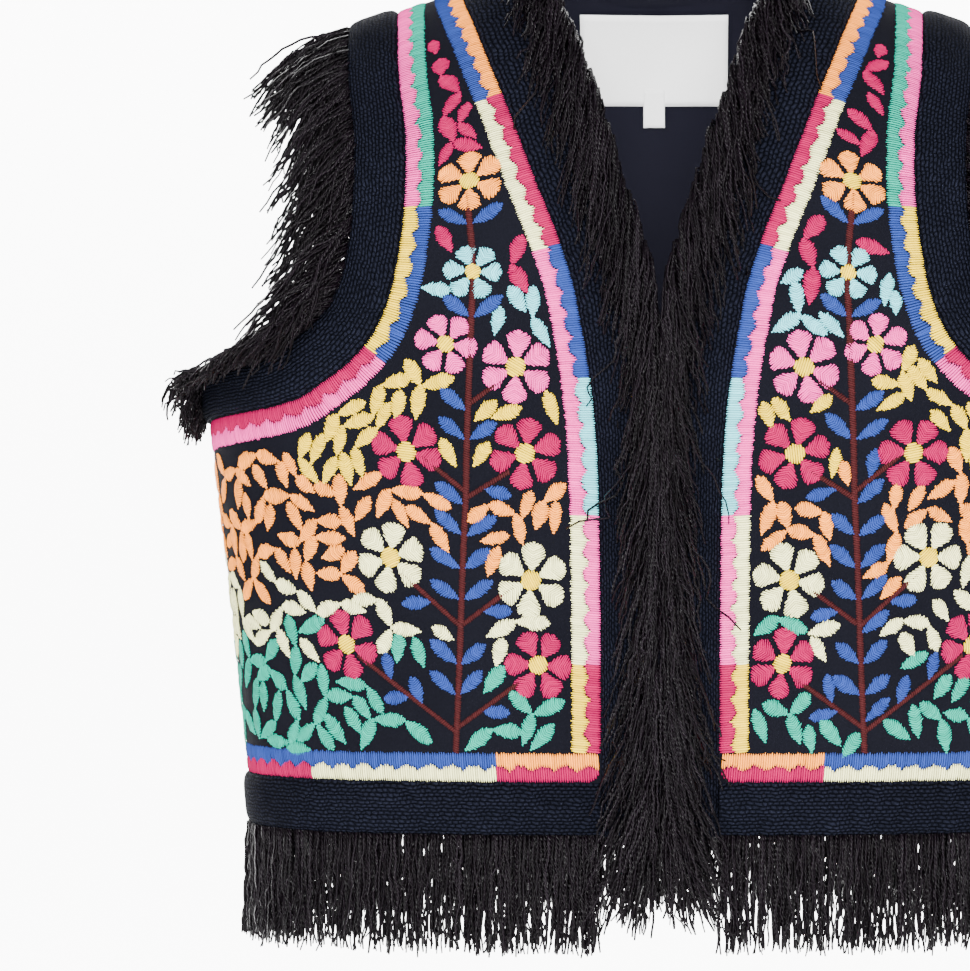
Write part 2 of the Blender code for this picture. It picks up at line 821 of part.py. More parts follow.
def make_fringes():
    random.seed(SEED)
    for name, side in (("fringe_armhole_right", -1), ("fringe_armhole_left", 1)):
        loop = armhole_loop(side)
        frames = edge_frames([ring[2] for ring in loop], [ring[1] for ring in loop], True)
        make_fringe(name, frames, True, 1, 1, armhole_fall(side))
    for name, side in (("fringe_front_right", -1), ("fringe_front_left", 1)):
        rings = front_band_rings(side)
        spots = [ring[0] for ring in rings]
        frames = edge_frames(spots, [ring[1] for ring in rings], False, True)
        fall = fall_over(spots, side, FRONT_FRINGE, FRONT_SPREADS, FRONT_LIFTS)
        make_fringe(name, frames, False, 1, 1, fall)
    rings = hem_rings()
    frames = edge_frames([ring[0] for ring in rings], [ring[1] for ring in rings], False)
    make_fringe("fringe_hem", frames, False, HEM_LOCKS, 2, hem_fall)
    rings = neck_band_rings()
    spots = [ring[2] for ring in rings]
    frames = edge_frames(spots, [ring[1] for ring in rings], False, True)
    fall = fall_over(spots, 1, NECK_FRINGE, NECK_SPREADS, NECK_LIFTS)
    make_fringe("fringe_neck", frames, False, 1, 1, fall)


def make_labels():
    make_label("label", LABEL_WIDTH, LABEL_TOP, LABEL_BOTTOM, LABEL_OFF_LINING)
    over_label = LABEL_OFF_LINING + LABEL_WALL + TAG_OFF_LABEL
    make_label("size_tag", TAG_WIDTH, TAG_TOP, TAG_BOTTOM, over_label)


def main():
    clear_scene()
    bpy.context.scene.collection.children.link(bpy.data.collections.new(COLLECTION))
    for name in FINISHES:
        make_finish(name)
    make_panels()
    make_bands()
    make_fringes()
    make_labels()


main()
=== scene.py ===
import math

import bmesh
import bpy
import numpy as np
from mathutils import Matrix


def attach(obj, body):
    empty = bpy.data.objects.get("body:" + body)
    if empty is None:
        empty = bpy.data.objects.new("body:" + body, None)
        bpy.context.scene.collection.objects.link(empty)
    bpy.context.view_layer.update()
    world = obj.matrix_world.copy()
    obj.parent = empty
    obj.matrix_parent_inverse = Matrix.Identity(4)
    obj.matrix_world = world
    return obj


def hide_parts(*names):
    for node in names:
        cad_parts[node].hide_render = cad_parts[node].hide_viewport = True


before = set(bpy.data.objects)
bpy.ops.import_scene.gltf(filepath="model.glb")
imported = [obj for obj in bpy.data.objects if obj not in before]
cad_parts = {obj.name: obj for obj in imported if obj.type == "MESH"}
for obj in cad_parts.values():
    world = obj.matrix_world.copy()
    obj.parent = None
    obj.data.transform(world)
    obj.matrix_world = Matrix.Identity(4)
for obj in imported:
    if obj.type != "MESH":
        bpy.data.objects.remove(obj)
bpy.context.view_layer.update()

dice = np.random.default_rng(17)

# The photograph's width in pixels, and the column of the vest's centre line
photo = {
    "width": 970,
    "centreColumn": 660,
    "metresPerPixel": 0.00045,
    "frontDepth": -0.100,
}
camera = {
    "distance": 1.9,
    "height": -0.243,
    "sensor": 36.0,
}

# The form that all the cloth lies on, in metres, as in the part's source.
form = {
    "squareness": 2.7,
    "quarterSteps": 400,
    "leanRadius": 0.170,
    "chestZ": -0.170,
    "hemZ": -0.401,
    "hemSeamZ": -0.377,
    "armholeSeamZ": -0.215,
    "bandStart": 0.0265,
    "curveSteps": 24,
    "neckPoint": 0.058,
    "neckPointZ": 0.004,
    "neckSlope": 0.19,
    "shoulderSlope": 0.37,
    "foldSpan": 0.25,
    "wall": 0.002,
    # height, half width, front depth, back depth
    "rows": (
        (-0.470, 0.188, 0.092, 0.090),
        (-0.401, 0.191, 0.095, 0.092),
        (-0.355, 0.195, 0.098, 0.094),
        (-0.308, 0.200, 0.102, 0.097),
        (-0.263, 0.205, 0.105, 0.100),
        (-0.216, 0.2105, 0.106, 0.103),
        (-0.170, 0.213, 0.104, 0.104),
    ),
    # The largest folds. round, rise, slant, half length, half width, depth
    "folds": (
        (-0.62, -0.185, 0.10, 0.060, 0.026, 0.0022),
        (0.55, -0.195, -0.15, 0.055, 0.030, 0.0026),
        (-0.90, -0.085, -0.40, 0.050, 0.026, -0.0026),
        (0.88, -0.100, 0.35, 0.045, 0.028, -0.0022),
        (-1.36, -0.150, 0.12, 0.080, 0.030, 0.0040),
        (-1.66, -0.180, 0.05, 0.060, 0.026, -0.0030),
        (1.44, -0.165, -0.10, 0.070, 0.034, 0.0036),
        (1.78, -0.120, 0.20, 0.090, 0.030, -0.0026),
        (-1.50, 0.020, -0.30, 0.050, 0.026, -0.0026),
        (1.48, 0.010, 0.30, 0.055, 0.028, -0.0030),
    ),
    # Smaller creases, each of its own size: by the armholes, along the hem and over the back.
    "creases": (
        (-0.80, -0.060, -0.55, 0.026, 0.009, -0.0009),
        (-0.70, -0.085, -0.70, 0.030, 0.011, 0.0008),
        (-0.44, -0.210, 0.20, 0.022, 0.012, -0.0009),
        (-0.80, -0.205, 0.10, 0.028, 0.010, 0.0010),
        (0.78, -0.064, 0.50, 0.028, 0.010, -0.0009),
        (0.66, -0.092, 0.80, 0.024, 0.009, 0.0007),
        (0.40, -0.205, -0.25, 0.026, 0.011, 0.0009),
        (0.84, -0.195, -0.05, 0.030, 0.012, -0.0010),
        (-1.20, -0.075, 0.45, 0.034, 0.012, -0.0014),
        (-1.12, -0.110, 0.60, 0.026, 0.010, 0.0010),
        (1.22, -0.070, -0.50, 0.030, 0.012, -0.0013),
        (1.10, -0.120, -0.35, 0.036, 0.011, 0.0011),
        (-1.82, -0.060, 0.08, 0.048, 0.014, 0.0014),
        (1.92, -0.190, -0.06, 0.034, 0.013, -0.0012),
        (1.62, -0.205, 0.14, 0.026, 0.012, 0.0012),
        (-1.50, -0.212, -0.10, 0.024, 0.010, -0.0011),
    ),
}

# Outlines on the form. across, height; no across is the side seam, no height the shoulder line
outlines = {
    "frontEdge": (
        (0.0045, -0.401), (0.0045, -0.300), (0.0045, -0.200), (0.0050, -0.163), (0.0085, -0.138),
        (0.0175, -0.108), (0.0275, -0.076), (0.0385, -0.043), (0.0510, -0.013), (0.058, None),
    ),
    "frontSeam": (
        (0.0265, -0.401), (0.0265, -0.300), (0.0285, -0.220), (0.0365, -0.163), (0.0450, -0.133),
        (0.0560, -0.105), (0.0670, -0.076), (0.0805, -0.043), (0.0910, -0.018), (0.0940, None),
    ),
    "armholeSeamFront": (
        (None, -0.215), (0.177, -0.2070), (0.151, -0.1950), (0.132, -0.1780), (0.123, -0.1600),
        (0.118, -0.1370), (0.1155, -0.1130), (0.116, -0.0830), (0.1205, -0.0500), (0.124, None),
    ),
    "armholeEdgeFront": (
        (None, -0.192), (0.189, -0.1880), (0.167, -0.1770), (0.151, -0.1630), (0.1435, -0.1460),
        (0.140, -0.1260), (0.139, -0.1050), (0.140, -0.0800), (0.144, -0.0520), (0.147, None),
    ),
    "armholeSeamBack": (
        (None, -0.215), (0.181, -0.2070), (0.158, -0.1920), (0.142, -0.1730), (0.134, -0.1500),
        (0.129, -0.1250), (0.127, -0.1000), (0.127, -0.0750), (0.126, -0.0520), (0.124, None),
    ),
    "armholeEdgeBack": (
        (None, -0.192), (0.193, -0.1860), (0.175, -0.1730), (0.161, -0.1560), (0.154, -0.1360),
        (0.151, -0.1150), (0.150, -0.0940), (0.150, -0.0730), (0.149, -0.0520), (0.147, None),
    ),
    "neckEdgeBack": (
        (0.0, -0.0080), (0.020, -0.0065), (0.040, -0.0010), (0.053, 0.0035), (0.058, None),
    ),
    "neckSeamBack": (
        (0.0, -0.0265), (0.028, -0.0245), (0.058, -0.0180), (0.083, -0.0100), (0.0940, None),
    ),
}

# Colours as linear shares, set so that they show like the photograph's in the render's soft film response
colours = {
    "magenta": (0.250, 0.0001, 0.045),
    "pink": (0.610, 0.0400, 0.235),
    "peach": (0.740, 0.220, 0.016),
    "yellow": (0.620, 0.415, 0.0010),
    "ivory": (0.640, 0.630, 0.300),
    "aqua": (0.105, 0.420, 0.470),
    "blue": (0.0150, 0.0320, 0.150),
    "teal": (0.0001, 0.230, 0.155),
    "brown": (0.0300, 0.0055, 0.0060),
    "ground": (0.0030, 0.0031, 0.0050),
    "band": (0.0033, 0.0037, 0.0066),
    "fringe": (0.0021, 0.0011, 0.0021),
    "lining": (0.0075, 0.0074, 0.0130),
    "label": (0.950, 0.950, 0.950),
    "floor": (0.900, 0.900, 0.900),
}

formRows = np.array(form["rows"])
allFolds = np.array(form["folds"] + form["creases"])
topRise = form["leanRadius"] * math.pi / 2
power = 2 / form["squareness"]
angleSteps = np.linspace(0.0, math.pi / 2, form["quarterSteps"] + 1)
ovalX = formRows[-2, 1] * np.sin(angleSteps) ** power
ovalY = formRows[-2, 2] * np.cos(angleSteps).clip(0.0) ** power
quarterShare = np.concatenate([[0.0], np.cumsum(np.hypot(np.diff(ovalX), np.diff(ovalY)))])
quarterLength = quarterShare[-1]
quarterShare = quarterShare / quarterLength


def readTable(rows, at, column):
    # A smooth reading between the rows of a table whose first column rises.
    keys = rows[:, 0]
    values = rows[:, column]
    last = len(rows) - 1
    i = np.searchsorted(keys[1:last], at, side="left")
    before = np.maximum(i - 1, 0)
    after = np.minimum(i + 2, last)
    span = keys[i + 1] - keys[i]
    f = ((at - keys[i]) / span).clip(0.0, 1.0)
    slopeLow = (values[i + 1] - values[before]) / (keys[i + 1] - keys[before]) * span
    slopeHigh = (values[after] - values[i]) / (keys[after] - keys[i]) * span
    share = f * f * (3 - 2 * f)
    bend = slopeLow * f * (1 - f) ** 2 + slopeHigh * f * f * (f - 1)
    return values[i] * (1 - share) + values[i + 1] * share + bend


def signedPower(value):
    return np.sign(value) * np.abs(value) ** power


def wrapped(around):
    return (around + 2) % 4 - 2


def turnOf(around):
    # around is 0 at centre front, 1 at the left side seam, -1 at the right one and 2 at centre back.
    around = wrapped(around)
    size = np.abs(around)
    near = np.interp(np.where(size <= 1, size, 2 - size), quarterShare, angleSteps)
    return np.copysign(np.where(size <= 1, near, math.pi - near), around)


def shoulderLine(across):
    past = np.abs(across) - form["neckPoint"]
    return form["neckPointZ"] - np.where(past > 0, form["shoulderSlope"], form["neckSlope"]) * past


def foldSwell(around, rise):
    swell = np.zeros_like(rise)
    for centre, height, slant, halfLength, halfWidth, depth in allFolds:
        up = rise - height
        side = wrapped(around - centre) * form["foldSpan"] - slant * up
        swell += depth * np.exp(-((up / halfLength) ** 2) - (side / halfWidth) ** 2)
    return swell


def formPoint(around, rise):
    # rise is the length up the form's profile from the chest line.
    around, rise = np.broadcast_arrays(np.asarray(around, float), np.asarray(rise, float))
    above = np.maximum(rise, 0.0) / form["leanRadius"]
    height = form["chestZ"] + np.minimum(rise, 0.0)
    turn = turnOf(around)
    halfWidth = readTable(formRows, height, 1)
    depth = np.where(np.cos(turn) > 0, readTable(formRows, height, 2), readTable(formRows, height, 3))
    swell = 1 + foldSwell(around, rise) / depth
    x = halfWidth * signedPower(np.sin(turn))
    y = -depth * signedPower(np.cos(turn)) * np.cos(above) * swell
    z = np.where(rise > 0, form["chestZ"] + (shoulderLine(x) - form["chestZ"]) * np.sin(above), height)
    return np.stack([x, y, z], axis=-1)


def unit(vectors):
    return vectors / np.linalg.norm(vectors, axis=-1, keepdims=True).clip(1e-12)


def formSlopes(around, rise):
    side = formPoint(around + 0.004, rise) - formPoint(around - 0.004, rise)
    up = formPoint(around, rise + 0.0008) - formPoint(around, rise - 0.0008)
    return side / 0.008, up / 0.0016


def offForm(around, rise, distance):
    side, up = formSlopes(around, rise)
    return formPoint(around, rise) + unit(np.cross(side, up)) * np.asarray(distance)[..., None]


def spotAt(across, height, back):
    # The place on the form, on the wearer's left, of a point seen from the front.
    if across is None:
        return 1.0, height - form["chestZ"]
    rise = topRise
    level = form["chestZ"]
    if height is not None and height <= form["chestZ"]:
        rise = height - form["chestZ"]
        level = height
    elif height is not None:
        share = (height - form["chestZ"]) / (shoulderLine(across) - form["chestZ"])
        rise = form["leanRadius"] * math.asin(min(share, 1.0))
    halfWidth = readTable(formRows, np.array(level), 1)
    angle = math.asin(min(across / halfWidth, 1.0) ** (1 / power))
    quarter = np.interp(angle, angleSteps, quarterShare)
    return (2 - quarter if back else quarter), rise


def withLengths(line):
    # A line of spots and the length on the form up to each.
    steps = np.linalg.norm(np.diff(formPoint(line[:, 0], line[:, 1]), axis=0), axis=1)
    return line, np.concatenate([[0.0], np.cumsum(steps)])


def makeCurve(name, side=1):
    # An outline as closely spaced spots.
    back = name.endswith("Back")
    spots = np.array([spotAt(across, height, back) for across, height in outlines[name]])
    last = len(spots) - 1
    f = (np.arange(form["curveSteps"]) / form["curveSteps"])[:, None]
    share = f * f * (3 - 2 * f)
    line = []
    for i in range(last):
        slopeLow = (spots[i + 1] - spots[max(i - 1, 0)]) / 2
        slopeHigh = (spots[min(i + 2, last)] - spots[i]) / 2
        bend = slopeLow * f * (1 - f) ** 2 + slopeHigh * f * f * (f - 1)
        line.append(spots[i] * (1 - share) + spots[i + 1] * share + bend)
    line, upTo = withLengths(np.concatenate(line + [spots[-1:]]))
    return line * (side, 1), upTo


def joinCurves(*curves):
    return withLengths(np.concatenate([curve[0] for curve in curves]))


def turnedCurve(curve):
    return curve[0][::-1], curve[1][-1] - curve[1][::-1]


def alongCurve(curve, lengths):
    line, upTo = curve
    return np.stack([np.interp(lengths, upTo, line[:, 0]), np.interp(lengths, upTo, line[:, 1])], axis=-1)


def lengthAtHeight(curve, height):
    return float(np.interp(height - form["chestZ"], curve[0][:, 1], curve[1]))


def heightOfRise(rise, around):
    return formPoint(around, rise)[..., 2]


def crossSteps(spots, toward):
    # For each spot of a line, the step in around and rise that goes 1 metre square off the line.
    side, up = formSlopes(spots[:, 0], spots[:, 1])
    normal = unit(np.cross(side, up))
    along = unit(np.gradient(formPoint(spots[:, 0], spots[:, 1]), axis=0))
    away = unit(np.cross(along, normal)) * toward
    aa = (side * side).sum(1)
    ab = (side * up).sum(1)
    bb = (up * up).sum(1)
    da = (side * away).sum(1)
    db = (up * away).sum(1)
    det = aa * bb - ab * ab
    return np.stack([(da * bb - db * ab) / det, (db * aa - da * ab) / det], axis=-1)


def linkObject(name, mesh, material):
    item = bpy.data.objects.new(name, mesh)
    bpy.context.scene.collection.objects.link(item)
    mesh.materials.append(material)
    return item


def gridMesh(name, points, uvs):
    # A sheet of quads through a grid of points, with its own flat coordinates in metres.
    rows, columns = points.shape[:2]
    bm = bmesh.new()
    uvLayer = bm.loops.layers.uv.new("flat")
    bmesh.ops.create_grid(bm, x_segments=columns - 1, y_segments=rows - 1, size=0.5)
    bm.verts.ensure_lookup_table()
    order = {}
    for vert in bm.verts:
        k = round((vert.co.x + 0.5) * (columns - 1))
        i = round((vert.co.y + 0.5) * (rows - 1))
        order[vert.index] = (i, k)
    for vert in bm.verts:
        vert.co = points[order[vert.index]]
    for face in bm.faces:
        face.smooth = True
        for loop in face.loops:
            loop[uvLayer].uv = uvs[order[loop.vert.index]]
    mesh = bpy.data.meshes.new(name)
    bm.to_mesh(mesh)
    bm.free()
    return mesh


def arrayMesh(name, points, quads, cornerUvs, caps=None):
    faces = quads.tolist() + ([] if caps is None else caps.tolist())
    mesh = bpy.data.meshes.new(name)
    mesh.from_pydata(points.tolist(), [], faces)
    layer = mesh.uv_layers.new(name="flat")
    layer.data.foreach_set("uv", cornerUvs.astype(np.float32).ravel())
    mesh.polygons.foreach_set("use_smooth", np.ones(len(faces), bool))
    mesh.update()
    return mesh


def pointAttribute(mesh, name, kind, values):
    attribute = mesh.attributes.new(name, kind, "POINT")
    field = "color" if kind == "FLOAT_COLOR" else "value"
    attribute.data.foreach_set(field, values.astype(np.float32).ravel())


def faceOutward(mesh, corner, beside, ahead, outward):
    # Turns the faces over when their first corner points into the form.
    if np.dot(np.cross(beside - corner, ahead - corner), outward) < 0:
        mesh.flip_normals()


def finishPiece(item, node):
    # Stitching has no node of its own.
    if node:
        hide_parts(node)
    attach(item, "root")
    return item


def flatArea(points):
    a = points[1:, :-1] - points[:-1, :-1]
    b = points[:-1, 1:] - points[:-1, :-1]
    c = points[1:, :-1] - points[1:, 1:]
    d = points[:-1, 1:] - points[1:, 1:]
    return float(sum(np.linalg.norm(np.cross(*pair), axis=-1).sum() / 2 for pair in ((a, b), (c, d))))


# The bands' size and their coarse weave, in rows along the band like small bricks
bands = {
    "rowPitch": 0.00175,
    "brickLength": 0.0028,
    "stepAcross": 0.0011,
    "stepAlong": 0.0024,
    "foot": 0.0002,
    "height": 0.0034,
    "unevenness": 0.00022,
}


# Materials


def newMaterial(name):
    material = bpy.data.materials.new(name)
    material.use_nodes = True
    tree = material.node_tree
    return material, tree, tree.nodes["Principled BSDF"]


def fillInputs(tree, node, values):
    for key, value in values.items():
        if isinstance(value, bpy.types.NodeSocket):
            tree.links.new(value, node.inputs[key])
        else:
            node.inputs[key].default_value = value


def addNode(tree, kind, values=None, **settings):
    node = tree.nodes.new(kind)
    for key, value in settings.items():
        setattr(node, key, value)
    fillInputs(tree, node, values or {})
    return node


def addMath(tree, operation, first, second=0.0):
    return addNode(tree, "ShaderNodeMath", {0: first, 1: second}, operation=operation).outputs[0]


def scaled(tree, colour, factor):
    node = addNode(tree, "ShaderNodeVectorMath", {0: colour}, operation="SCALE")
    tree.links.new(factor, node.inputs["Scale"])
    return node.outputs[0]


def newGroup(name, inputs, outputs):
    group = bpy.data.node_groups.new(name, "ShaderNodeTree")
    for direction, sockets in (("INPUT", inputs), ("OUTPUT", outputs)):
        for socketName, kind in sockets:
            group.interface.new_socket(name=socketName, in_out=direction, socket_type=kind)
    return group, group.nodes.new("NodeGroupInput"), group.nodes.new("NodeGroupOutput")


def makeToneGroup():
    # An uneven tone: broad patches and fine grain, about 1 on the whole.
    group, start, end = newGroup(
        "unevenTone",
        [("Vector", "NodeSocketVector"), ("Broad", "NodeSocketFloat"), ("Fine", "NodeSocketFloat")],
        [("Tone", "NodeSocketFloat")],
    )
    place, wide, small = (start.outputs[name] for name in ("Vector", "Broad", "Fine"))
    broad = addNode(group, "ShaderNodeTexNoise", {"Vector": place, "Scale": wide, "Detail": 3.0})
    fine = addNode(group, "ShaderNodeTexNoise", {"Vector": place, "Scale": small, "Detail": 2.0})
    summed = addMath(group, "ADD", broad.outputs["Fac"], fine.outputs["Fac"])
    group.links.new(summed, end.inputs["Tone"])
    return group


def makeWeaveGroup():
    # A plain weave's height from flat coordinates: threads over and under by turns.
    group, start, end = newGroup(
        "plainWeave",
        [("Vector", "NodeSocketVector"), ("Threads", "NodeSocketFloat")],
        [("Height", "NodeSocketFloat")],
    )
    threads = scaled(group, start.outputs["Vector"], start.outputs["Threads"])
    parts = addNode(group, "ShaderNodeSeparateXYZ", {0: threads})
    across = addMath(group, "SINE", addMath(group, "MULTIPLY", parts.outputs["X"], math.pi))
    along = addMath(group, "SINE", addMath(group, "MULTIPLY", parts.outputs["Y"], math.pi))
    crossed = addMath(group, "MULTIPLY", across, along)
    group.links.new(addMath(group, "ABSOLUTE", crossed), end.inputs["Height"])
    return group


def makeBrickGroup():
    # The bands' coarse weave: rows along the band of short raised floats, each row shifted.
    group, start, end = newGroup("brickWeave", [("Vector", "NodeSocketVector")], [("Height", "NodeSocketFloat")])
    noise = addNode(group, "ShaderNodeTexNoise", {"Vector": start.outputs["Vector"], "Scale": 150.0, "Detail": 2.0})
    wobble = noise.outputs["Fac"]
    parts = addNode(group, "ShaderNodeSeparateXYZ", {0: start.outputs["Vector"]})
    rows = addMath(group, "DIVIDE", parts.outputs["X"], bands["rowPitch"])
    row = addMath(group, "ADD", rows, addMath(group, "MULTIPLY", wobble, 1.7))
    shift = addMath(group, "MULTIPLY", addMath(group, "FLOOR", row), 0.47)
    bricks = addMath(group, "DIVIDE", parts.outputs["Y"], bands["brickLength"])
    run = addMath(group, "ADD", bricks, addMath(group, "ADD", shift, addMath(group, "MULTIPLY", wobble, 2.2)))
    across = addMath(group, "ABSOLUTE", addMath(group, "SINE", addMath(group, "MULTIPLY", row, math.pi)))
    along = addMath(group, "ABSOLUTE", addMath(group, "SINE", addMath(group, "MULTIPLY", run, math.pi)))
    ends = addMath(group, "ADD", addMath(group, "MULTIPLY", addMath(group, "POWER", along, 0.6), 0.85), 0.15)
    group.links.new(addMath(group, "MULTIPLY", addMath(group, "POWER", across, 0.7), ends), end.inputs["Height"])
    return group


toneGroup = makeToneGroup()
brickGroup = makeBrickGroup()
weaveGroup = makeWeaveGroup()


def useGroup(tree, group, values):
    node = addNode(tree, "ShaderNodeGroup", node_tree=group)
    fillInputs(tree, node, values)
    return node.outputs[0]


def tinted(tree, colour, tone, low, high):
    # The colour times a tone that runs from low to high.
    factor = addNode(tree, "ShaderNodeMapRange", {"Value": tone, "From Min": 0.7, "From Max": 1.3, "To Min": low, "To Max": high})
    return scaled(tree, colour, factor.outputs[0])


def setSurface(tree, shader, look, colour, height, strength):
    tree.links.new(colour, shader.inputs["Base Color"])
    shader.inputs["Roughness"].default_value = look["roughness"]
    shader.inputs["Specular IOR Level"].default_value = look["gloss"]
    bump = addNode(tree, "ShaderNodeBump", {"Height": height, "Strength": strength, "Distance": look["bump"]})
    tree.links.new(bump.outputs[0], shader.inputs["Normal"])


clothLooks = {
    # threads a metre, bump depth, roughness, gloss, low and high tone
    "ground": {"threads": 2600.0, "bump": 0.00012, "roughness": 0.85, "gloss": 0.02, "tones": (0.80, 1.20)},
    "band": {"threads": 1500.0, "bump": 0.00200, "roughness": 0.75, "gloss": 0.01, "tones": (0.70, 1.30)},
    "lining": {"threads": 5200.0, "bump": 0.00003, "roughness": 0.60, "gloss": 0.03, "tones": (0.92, 1.08)},
    "label": {"threads": 3400.0, "bump": 0.00004, "roughness": 0.62, "gloss": 0.20, "tones": (0.98, 1.02)},
}


def makeCloth(name):
    look = clothLooks[name]
    material, tree, shader = newMaterial(name + "Cloth")
    flat = addNode(tree, "ShaderNodeUVMap", uv_map="flat").outputs["UV"]
    tone = useGroup(tree, toneGroup, {"Vector": flat, "Broad": 14.0, "Fine": 900.0})
    base = tinted(tree, colours[name], tone, *look["tones"])
    weave = useGroup(tree, weaveGroup, {"Vector": flat, "Threads": look["threads"]})
    height = addMath(tree, "ADD", weave, addMath(tree, "MULTIPLY", tone, 0.8))
    if name == "band":
        brick = useGroup(tree, brickGroup, {"Vector": flat})
        patches = useGroup(tree, toneGroup, {"Vector": flat, "Broad": 150.0, "Fine": 1700.0})
        patchyFloatLight = addMath(tree, "MULTIPLY", patches, 1.90)
        height = addMath(tree, "ADD", brick, addMath(tree, "MULTIPLY", height, 0.22))
        # Painted light and shade: the base colour is lighter on the raised floats, in uneven patches, and darker in the
        # gaps between them.
        lit = addMath(tree, "MULTIPLY", addMath(tree, "POWER", brick, 1.3), patchyFloatLight)
        base = scaled(tree, base, addMath(tree, "ADD", lit, 0.20))
    setSurface(tree, shader, look, base, height, 0.9)
    return material


threadLook = {
    "roughness": 0.50,
    "gloss": 0.03,
    "tones": (0.94, 1.12),
    # how far the painted shade darkens each stitch towards its sides
    "paintedSideShade": 0.80,
    "fibres": (5200.0, 260.0, 1.0),
    "bump": 0.00016,
}
yarnLook = {
    "roughness": 0.36,
    "gloss": 0.09,
    "turns": 420.0,
    # groove and ridge set the painted shade between the plies: the darkest share, and how much lighter the ridges are
    "groove": 0.35,
    "ridge": 0.9,
    "bump": 0.00035,
}


def makeThreadMaterial():
    material, tree, shader = newMaterial("silkyThread")
    flat = addNode(tree, "ShaderNodeUVMap", uv_map="flat").outputs["UV"]
    colour = addNode(tree, "ShaderNodeAttribute", attribute_name="threadColor").outputs["Color"]
    tone = useGroup(tree, toneGroup, {"Vector": flat, "Broad": 60.0, "Fine": 2400.0})
    # Painted shade: each stitch's colour darkens towards its two sides, where the grooves between stitches lie in
    # shade.
    edge = addNode(tree, "ShaderNodeAttribute", attribute_name="paintedEdgeShade").outputs["Fac"]
    dark = addMath(tree, "MULTIPLY", addMath(tree, "POWER", edge, 2.2), threadLook["paintedSideShade"])
    base = scaled(tree, tinted(tree, colour, tone, *threadLook["tones"]), addMath(tree, "SUBTRACT", 1.0, dark))
    stretched = addNode(tree, "ShaderNodeMapping", {"Vector": flat, "Scale": threadLook["fibres"]})
    fibres = addNode(tree, "ShaderNodeTexNoise", {"Vector": stretched.outputs[0], "Scale": 1.0, "Detail": 2.0})
    setSurface(tree, shader, threadLook, base, fibres.outputs["Fac"], 0.6)
    return material


def makeFringeMaterial():
    # Yarn of two twisted plies: flat coordinates run round the strand and along it.
    material, tree, shader = newMaterial("twistedYarn")
    flat = addNode(tree, "ShaderNodeUVMap", uv_map="flat").outputs["UV"]
    parts = addNode(tree, "ShaderNodeSeparateXYZ", {0: flat})
    turns = addMath(tree, "MULTIPLY", parts.outputs["X"], 2.0)
    run = addMath(tree, "MULTIPLY", parts.outputs["Y"], yarnLook["turns"])
    angle = addMath(tree, "MULTIPLY", addMath(tree, "ADD", turns, run), math.pi)
    twist = addMath(tree, "ABSOLUTE", addMath(tree, "SINE", angle))
    tone = addNode(tree, "ShaderNodeAttribute", attribute_name="strandTone").outputs["Fac"]
    # Painted shade: the yarn's colour is darker in the grooves between its twisted plies.
    ridge = addMath(tree, "ADD", addMath(tree, "MULTIPLY", twist, yarnLook["ridge"]), yarnLook["groove"])
    base = scaled(tree, colours["fringe"], addMath(tree, "MULTIPLY", tone, ridge))
    setSurface(tree, shader, yarnLook, base, twist, 1.0)
    return material


materials = {name: makeCloth(name) for name in clothLooks}
materials["thread"] = makeThreadMaterial()
materials["fringe"] = makeFringeMaterial()

# Panels of ground cloth

panels = {
    "frontRows": 92,
    "frontColumns": 50,
    "backRows": 80,
    "backColumns": 50,
    "liningGap": 0.0005,
    "liningWall": 0.001,
    "seamGap": 0.0004,
}


def rowsBetween(inner, outer, rows, columns):
    # Spots on straight rows from one outline to another, at like shares of both.
    shares = np.linspace(0.0, 1.0, rows)
    first = alongCurve(inner, shares * inner[1][-1])
    last = alongCurve(outer, shares * outer[1][-1])
    f = np.linspace(0.0, 1.0, columns)[None, :, None]
    return first[:, None, :] * (1 - f) + last[:, None, :] * f


def straightCurve(first, last):
    f = np.linspace(0.0, 1.0, 40)[:, None]
    return withLengths(np.array(first) * (1 - f) + np.array(last) * f)


hemRise = form["hemZ"] - form["chestZ"]
seamRise = form["hemSeamZ"] - form["chestZ"]


def sideCurve(side, armhole):
    top = armhole[0][0, 1]
    return joinCurves(straightCurve((side, hemRise), (side, top)), armhole)


def flatCoordinates(spots):
    return np.stack([spots[..., 0] * quarterLength, spots[..., 1]], axis=-1)


def addThickness(item, thickness, inner=None, offset=-1.0):
    if inner:
        item.data.materials.append(inner)
    solid = item.modifiers.new("thickness", "SOLIDIFY")
    solid.thickness = thickness
    solid.offset = offset
    if inner:
        solid.material_offset = 1


def makeFrontPanel(name, node, side):
    outer = sideCurve(1, makeCurve("armholeEdgeFront"))
    spots = rowsBetween(makeCurve("frontEdge"), outer, panels["frontRows"], panels["frontColumns"])
    spots[..., 0] = np.minimum(spots[..., 0], 1 - panels["seamGap"]) * side
    if side < 0:
        spots = spots[:, ::-1]
    points = offForm(spots[..., 0], spots[..., 1], form["wall"] / 2)
    item = linkObject(name, gridMesh(name, points, flatCoordinates(spots)), materials["ground"])
    addThickness(item, form["wall"], materials["lining"])
    finishPiece(item, node)
    print(name, "area", round(flatArea(points), 4))


def backSpots(lowest=0.0):
    outer = sideCurve(1, makeCurve("armholeEdgeBack"))
    neck = makeCurve("neckEdgeBack")
    inner = joinCurves(straightCurve((2.0, hemRise), (2.0, neck[0][0, 1])), neck)
    half = rowsBetween(inner, outer, panels["backRows"], panels["backColumns"])
    half = half[int(lowest * panels["backRows"]):]
    half[..., 0] = np.maximum(half[..., 0], 1 + panels["seamGap"])
    other = half.copy()
    other[..., 0] = 4 - half[..., 0]
    return np.concatenate([half[:, ::-1], other[:, 1:]], axis=1)


def makeBackPanel():
    spots = backSpots()
    points = offForm(spots[..., 0], spots[..., 1], form["wall"] / 2)
    item = linkObject("backPanel", gridMesh("backPanel", points, flatCoordinates(spots)), materials["ground"])
    addThickness(item, form["wall"], materials["lining"])
    finishPiece(item, "back")
    print("backPanel area", round(flatArea(points), 4))


